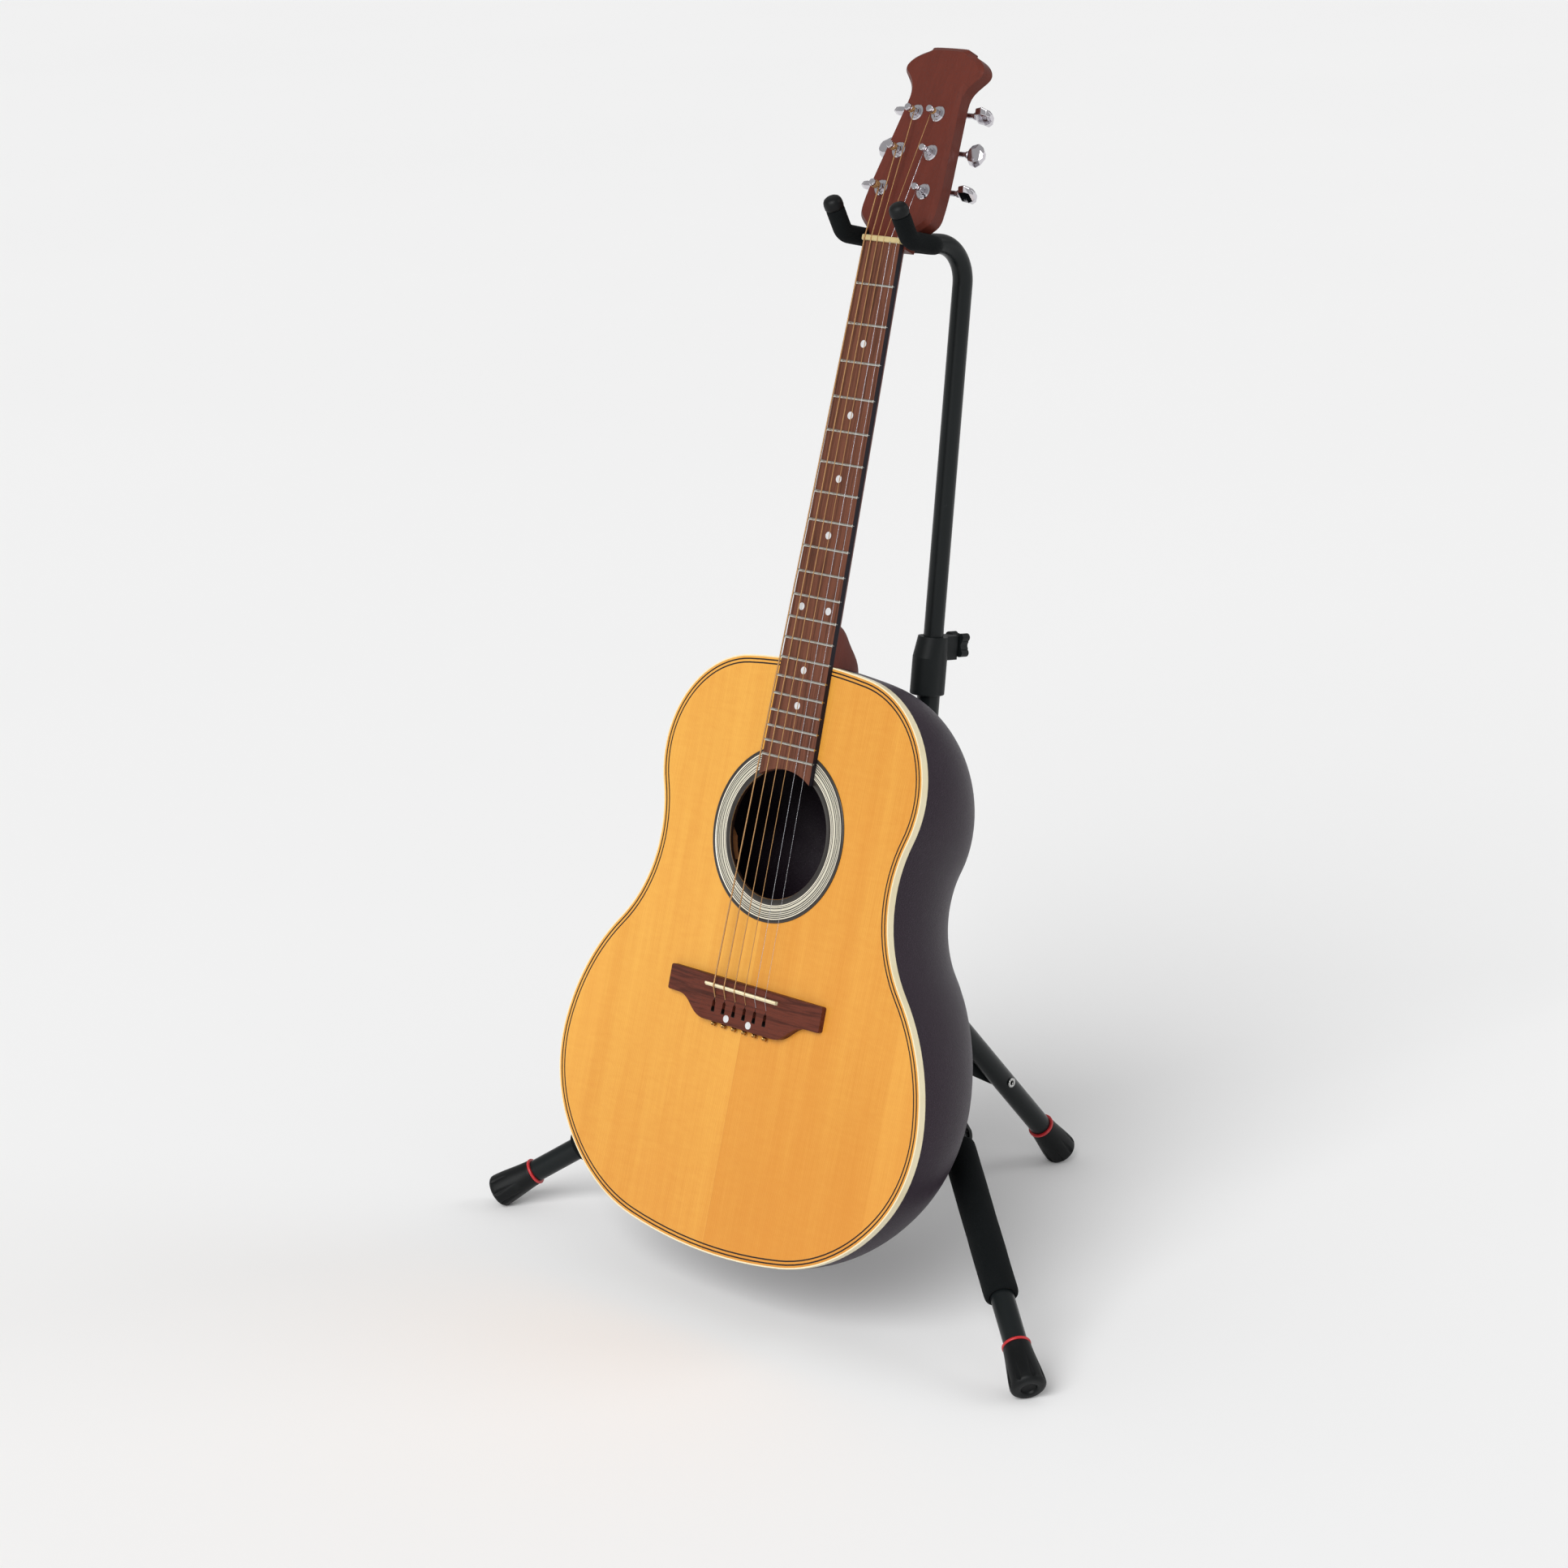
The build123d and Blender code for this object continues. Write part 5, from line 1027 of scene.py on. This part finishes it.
class STAND_OT_feet(bpy.types.Operator):
    """Shapes the flared feet with their tapering flutes"""

    bl_idname = "stand.feet"
    bl_label = "Feet"

    def execute(self, context):
        look = context.scene.stand_look
        material = finish("foot_rubber", rubber, look)
        for name in LEGS:
            matrix = leg_frame(name)
            low, high = local_box(f"foot_{name}", matrix)
            start, end = low.z, high.z
            profile = [(10.2, start + 1.0), (10.9, start + 0.1), (11.5, start), (11.8, start + 0.7)]
            for step in range(1, 25):
                part = step / 25
                eased = part * part * (3 - 2 * part)
                flare = 3.5 * (0.45 * part + 0.55 * eased)
                profile.append((11.8 + flare, start + 0.7 + (end - start - 5.2) * part))
            for step in range(0, 9):
                angle = math.pi / 2 * step / 8
                profile.append((11.2 + 4.1 * math.cos(angle), end - 4.2 + 4.1 * math.sin(angle)))
            profile += [(radius, end - rise) for radius, rise in SOLE]

            def relief(angle, height, radius, start=start, end=end):
                part = (height - start) / (end - start)
                return look.flute_depth / MM * self.flute(angle, part, look.flutes)

            shape = lathe(profile, matrix, 120, relief=relief)
            for vertex in shape.verts:
                vertex.co.z = max(vertex.co.z, 0.0)
            piece = new_piece(f"foot_rubber_{name}", shape, material, f"leg_{name}")
            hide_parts(f"foot_{name}")
        return {"FINISHED"}

    @staticmethod
    def flute(angle, part, count):
        """Depth of the grooves, 0 to 1: pointed above, deepest low down, with a rounded lower end."""
        if not FLUTE_TOP < part < FLUTE_BOTTOM:
            return 0.0
        along_groove = (part - FLUTE_TOP) / (FLUTE_BOTTOM - FLUTE_TOP)
        width = 0.36 * min(1.0, along_groove * 1.25)
        if along_groove > 0.82:
            width *= math.sqrt(max(0.0, 1 - ((along_groove - 0.82) / 0.18) ** 2))
        pitch = 2 * math.pi / count
        offset = abs((angle + pitch / 2) % pitch - pitch / 2) / (pitch / 2)
        if width < 1e-6 or offset >= width:
            return 0.0
        depth = min(1.0, along_groove * 1.3)
        return depth * (1 - (offset / width) ** 2)


# ---------------------------------------------------------------- stage
class STAGE_OT_studio(bpy.types.Operator):
    """Lays the pale floor, lights it softly and places the camera"""

    bl_idname = "stage.studio"
    bl_label = "Studio"

    def execute(self, context):
        scene = context.scene
        studio = scene.studio
        self.floor(scene)
        self.room(scene, studio)
        self.lamp(scene, "key_light", (0.24, -0.80, 0.60), studio.key, 40)
        self.lamp(scene, "rim_light", (0.62, 0.62, 0.55), studio.rim, 28)
        data = bpy.data.cameras.new("camera")
        data.lens = studio.lens
        data.sensor_width = 36
        data.clip_end = 200
        camera = bpy.data.objects.new("camera", data)
        camera.location = studio.camera_place
        camera.rotation_euler = studio.camera_turn
        scene.collection.objects.link(camera)
        scene.camera = camera
        scene.view_settings.view_transform = "Standard"
        return {"FINISHED"}

    def floor(self, scene):
        shape = bmesh.new()
        bmesh.ops.create_circle(shape, cap_ends=True, segments=96, radius=70)
        mesh = bpy.data.meshes.new("floor")
        shape.to_mesh(mesh)
        shape.free()

        def paper(nodes):
            point = nodes.add("ShaderNodeTexCoord", output="Object")
            cloud = nodes.noise(point, 0.7, 3.0)
            colour = nodes.blend(cloud, rgba((0.94, 0.94, 0.94)), rgba((0.92, 0.92, 0.92)))
            return {"Base Color": colour, "Roughness": 0.9, "Specular IOR Level": 0.1}

        mesh.materials.append(finish("paper", paper))
        floor = bpy.data.objects.new("floor", mesh)
        floor.location.z = -0.0002
        scene.collection.objects.link(floor)

    def room(self, scene, studio):
        world = bpy.data.worlds.new("room")
        world.use_nodes = True
        scene.world = world
        nodes = Nodes(world.node_tree)
        height = nodes.split(nodes.add("ShaderNodeTexCoord", output="Generated"))[2]
        level = nodes.fade(height, 0.01, 0.16, studio.horizon, studio.ceiling)
        colour = nodes.join(level, level, level)
        shader = nodes.add("ShaderNodeBackground", None, {0: colour, 1: 1.0})
        nodes.add("ShaderNodeOutputWorld", None, {0: shader})

    def lamp(self, scene, name, towards, strength, spread):
        data = bpy.data.lights.new(name, "SUN")
        data.energy = strength
        data.angle = math.radians(spread)
        lamp = bpy.data.objects.new(name, data)
        lamp.rotation_euler = Vector(towards).to_track_quat("Z", "Y").to_euler()
        scene.collection.objects.link(lamp)


# ---------------------------------------------------------------- add-on
OPERATORS = (GUITAR_OT_body, GUITAR_OT_neck, GUITAR_OT_bridge, GUITAR_OT_strings, GUITAR_OT_tuners,
             GUITAR_OT_strap_button, STAND_OT_mast, STAND_OT_yoke, STAND_OT_tripod, STAND_OT_leg_sleeves,
             STAND_OT_feet, STAGE_OT_studio)
GROUPS = {"guitar_look": GuitarLook, "stand_look": StandLook, "string_sizes": StringSizes, "studio": Studio}


class VIEW3D_PT_guitar(bpy.types.Panel):
    bl_label = "Guitar on Stand"
    bl_space_type = "VIEW_3D"
    bl_region_type = "UI"
    bl_category = "Guitar"

    def draw(self, context):
        for name, group in GROUPS.items():
            box = self.layout.box()
            for key in group.__annotations__:
                box.prop(getattr(context.scene, name), key)
        for operator in OPERATORS:
            self.layout.operator(operator.bl_idname)


CLASSES = (*GROUPS.values(), *OPERATORS, VIEW3D_PT_guitar)


def register():
    for cls in CLASSES:
        bpy.utils.register_class(cls)
    for name, group in GROUPS.items():
        setattr(bpy.types.Scene, name, PointerProperty(type=group))


def unregister():
    for name in GROUPS:
        delattr(bpy.types.Scene, name)
    for cls in reversed(CLASSES):
        bpy.utils.unregister_class(cls)


def main():
    register()
    for operator in OPERATORS:
        group, name = operator.bl_idname.split(".")
        getattr(getattr(bpy.ops, group), name)()


if __name__ == "__main__":
    main()
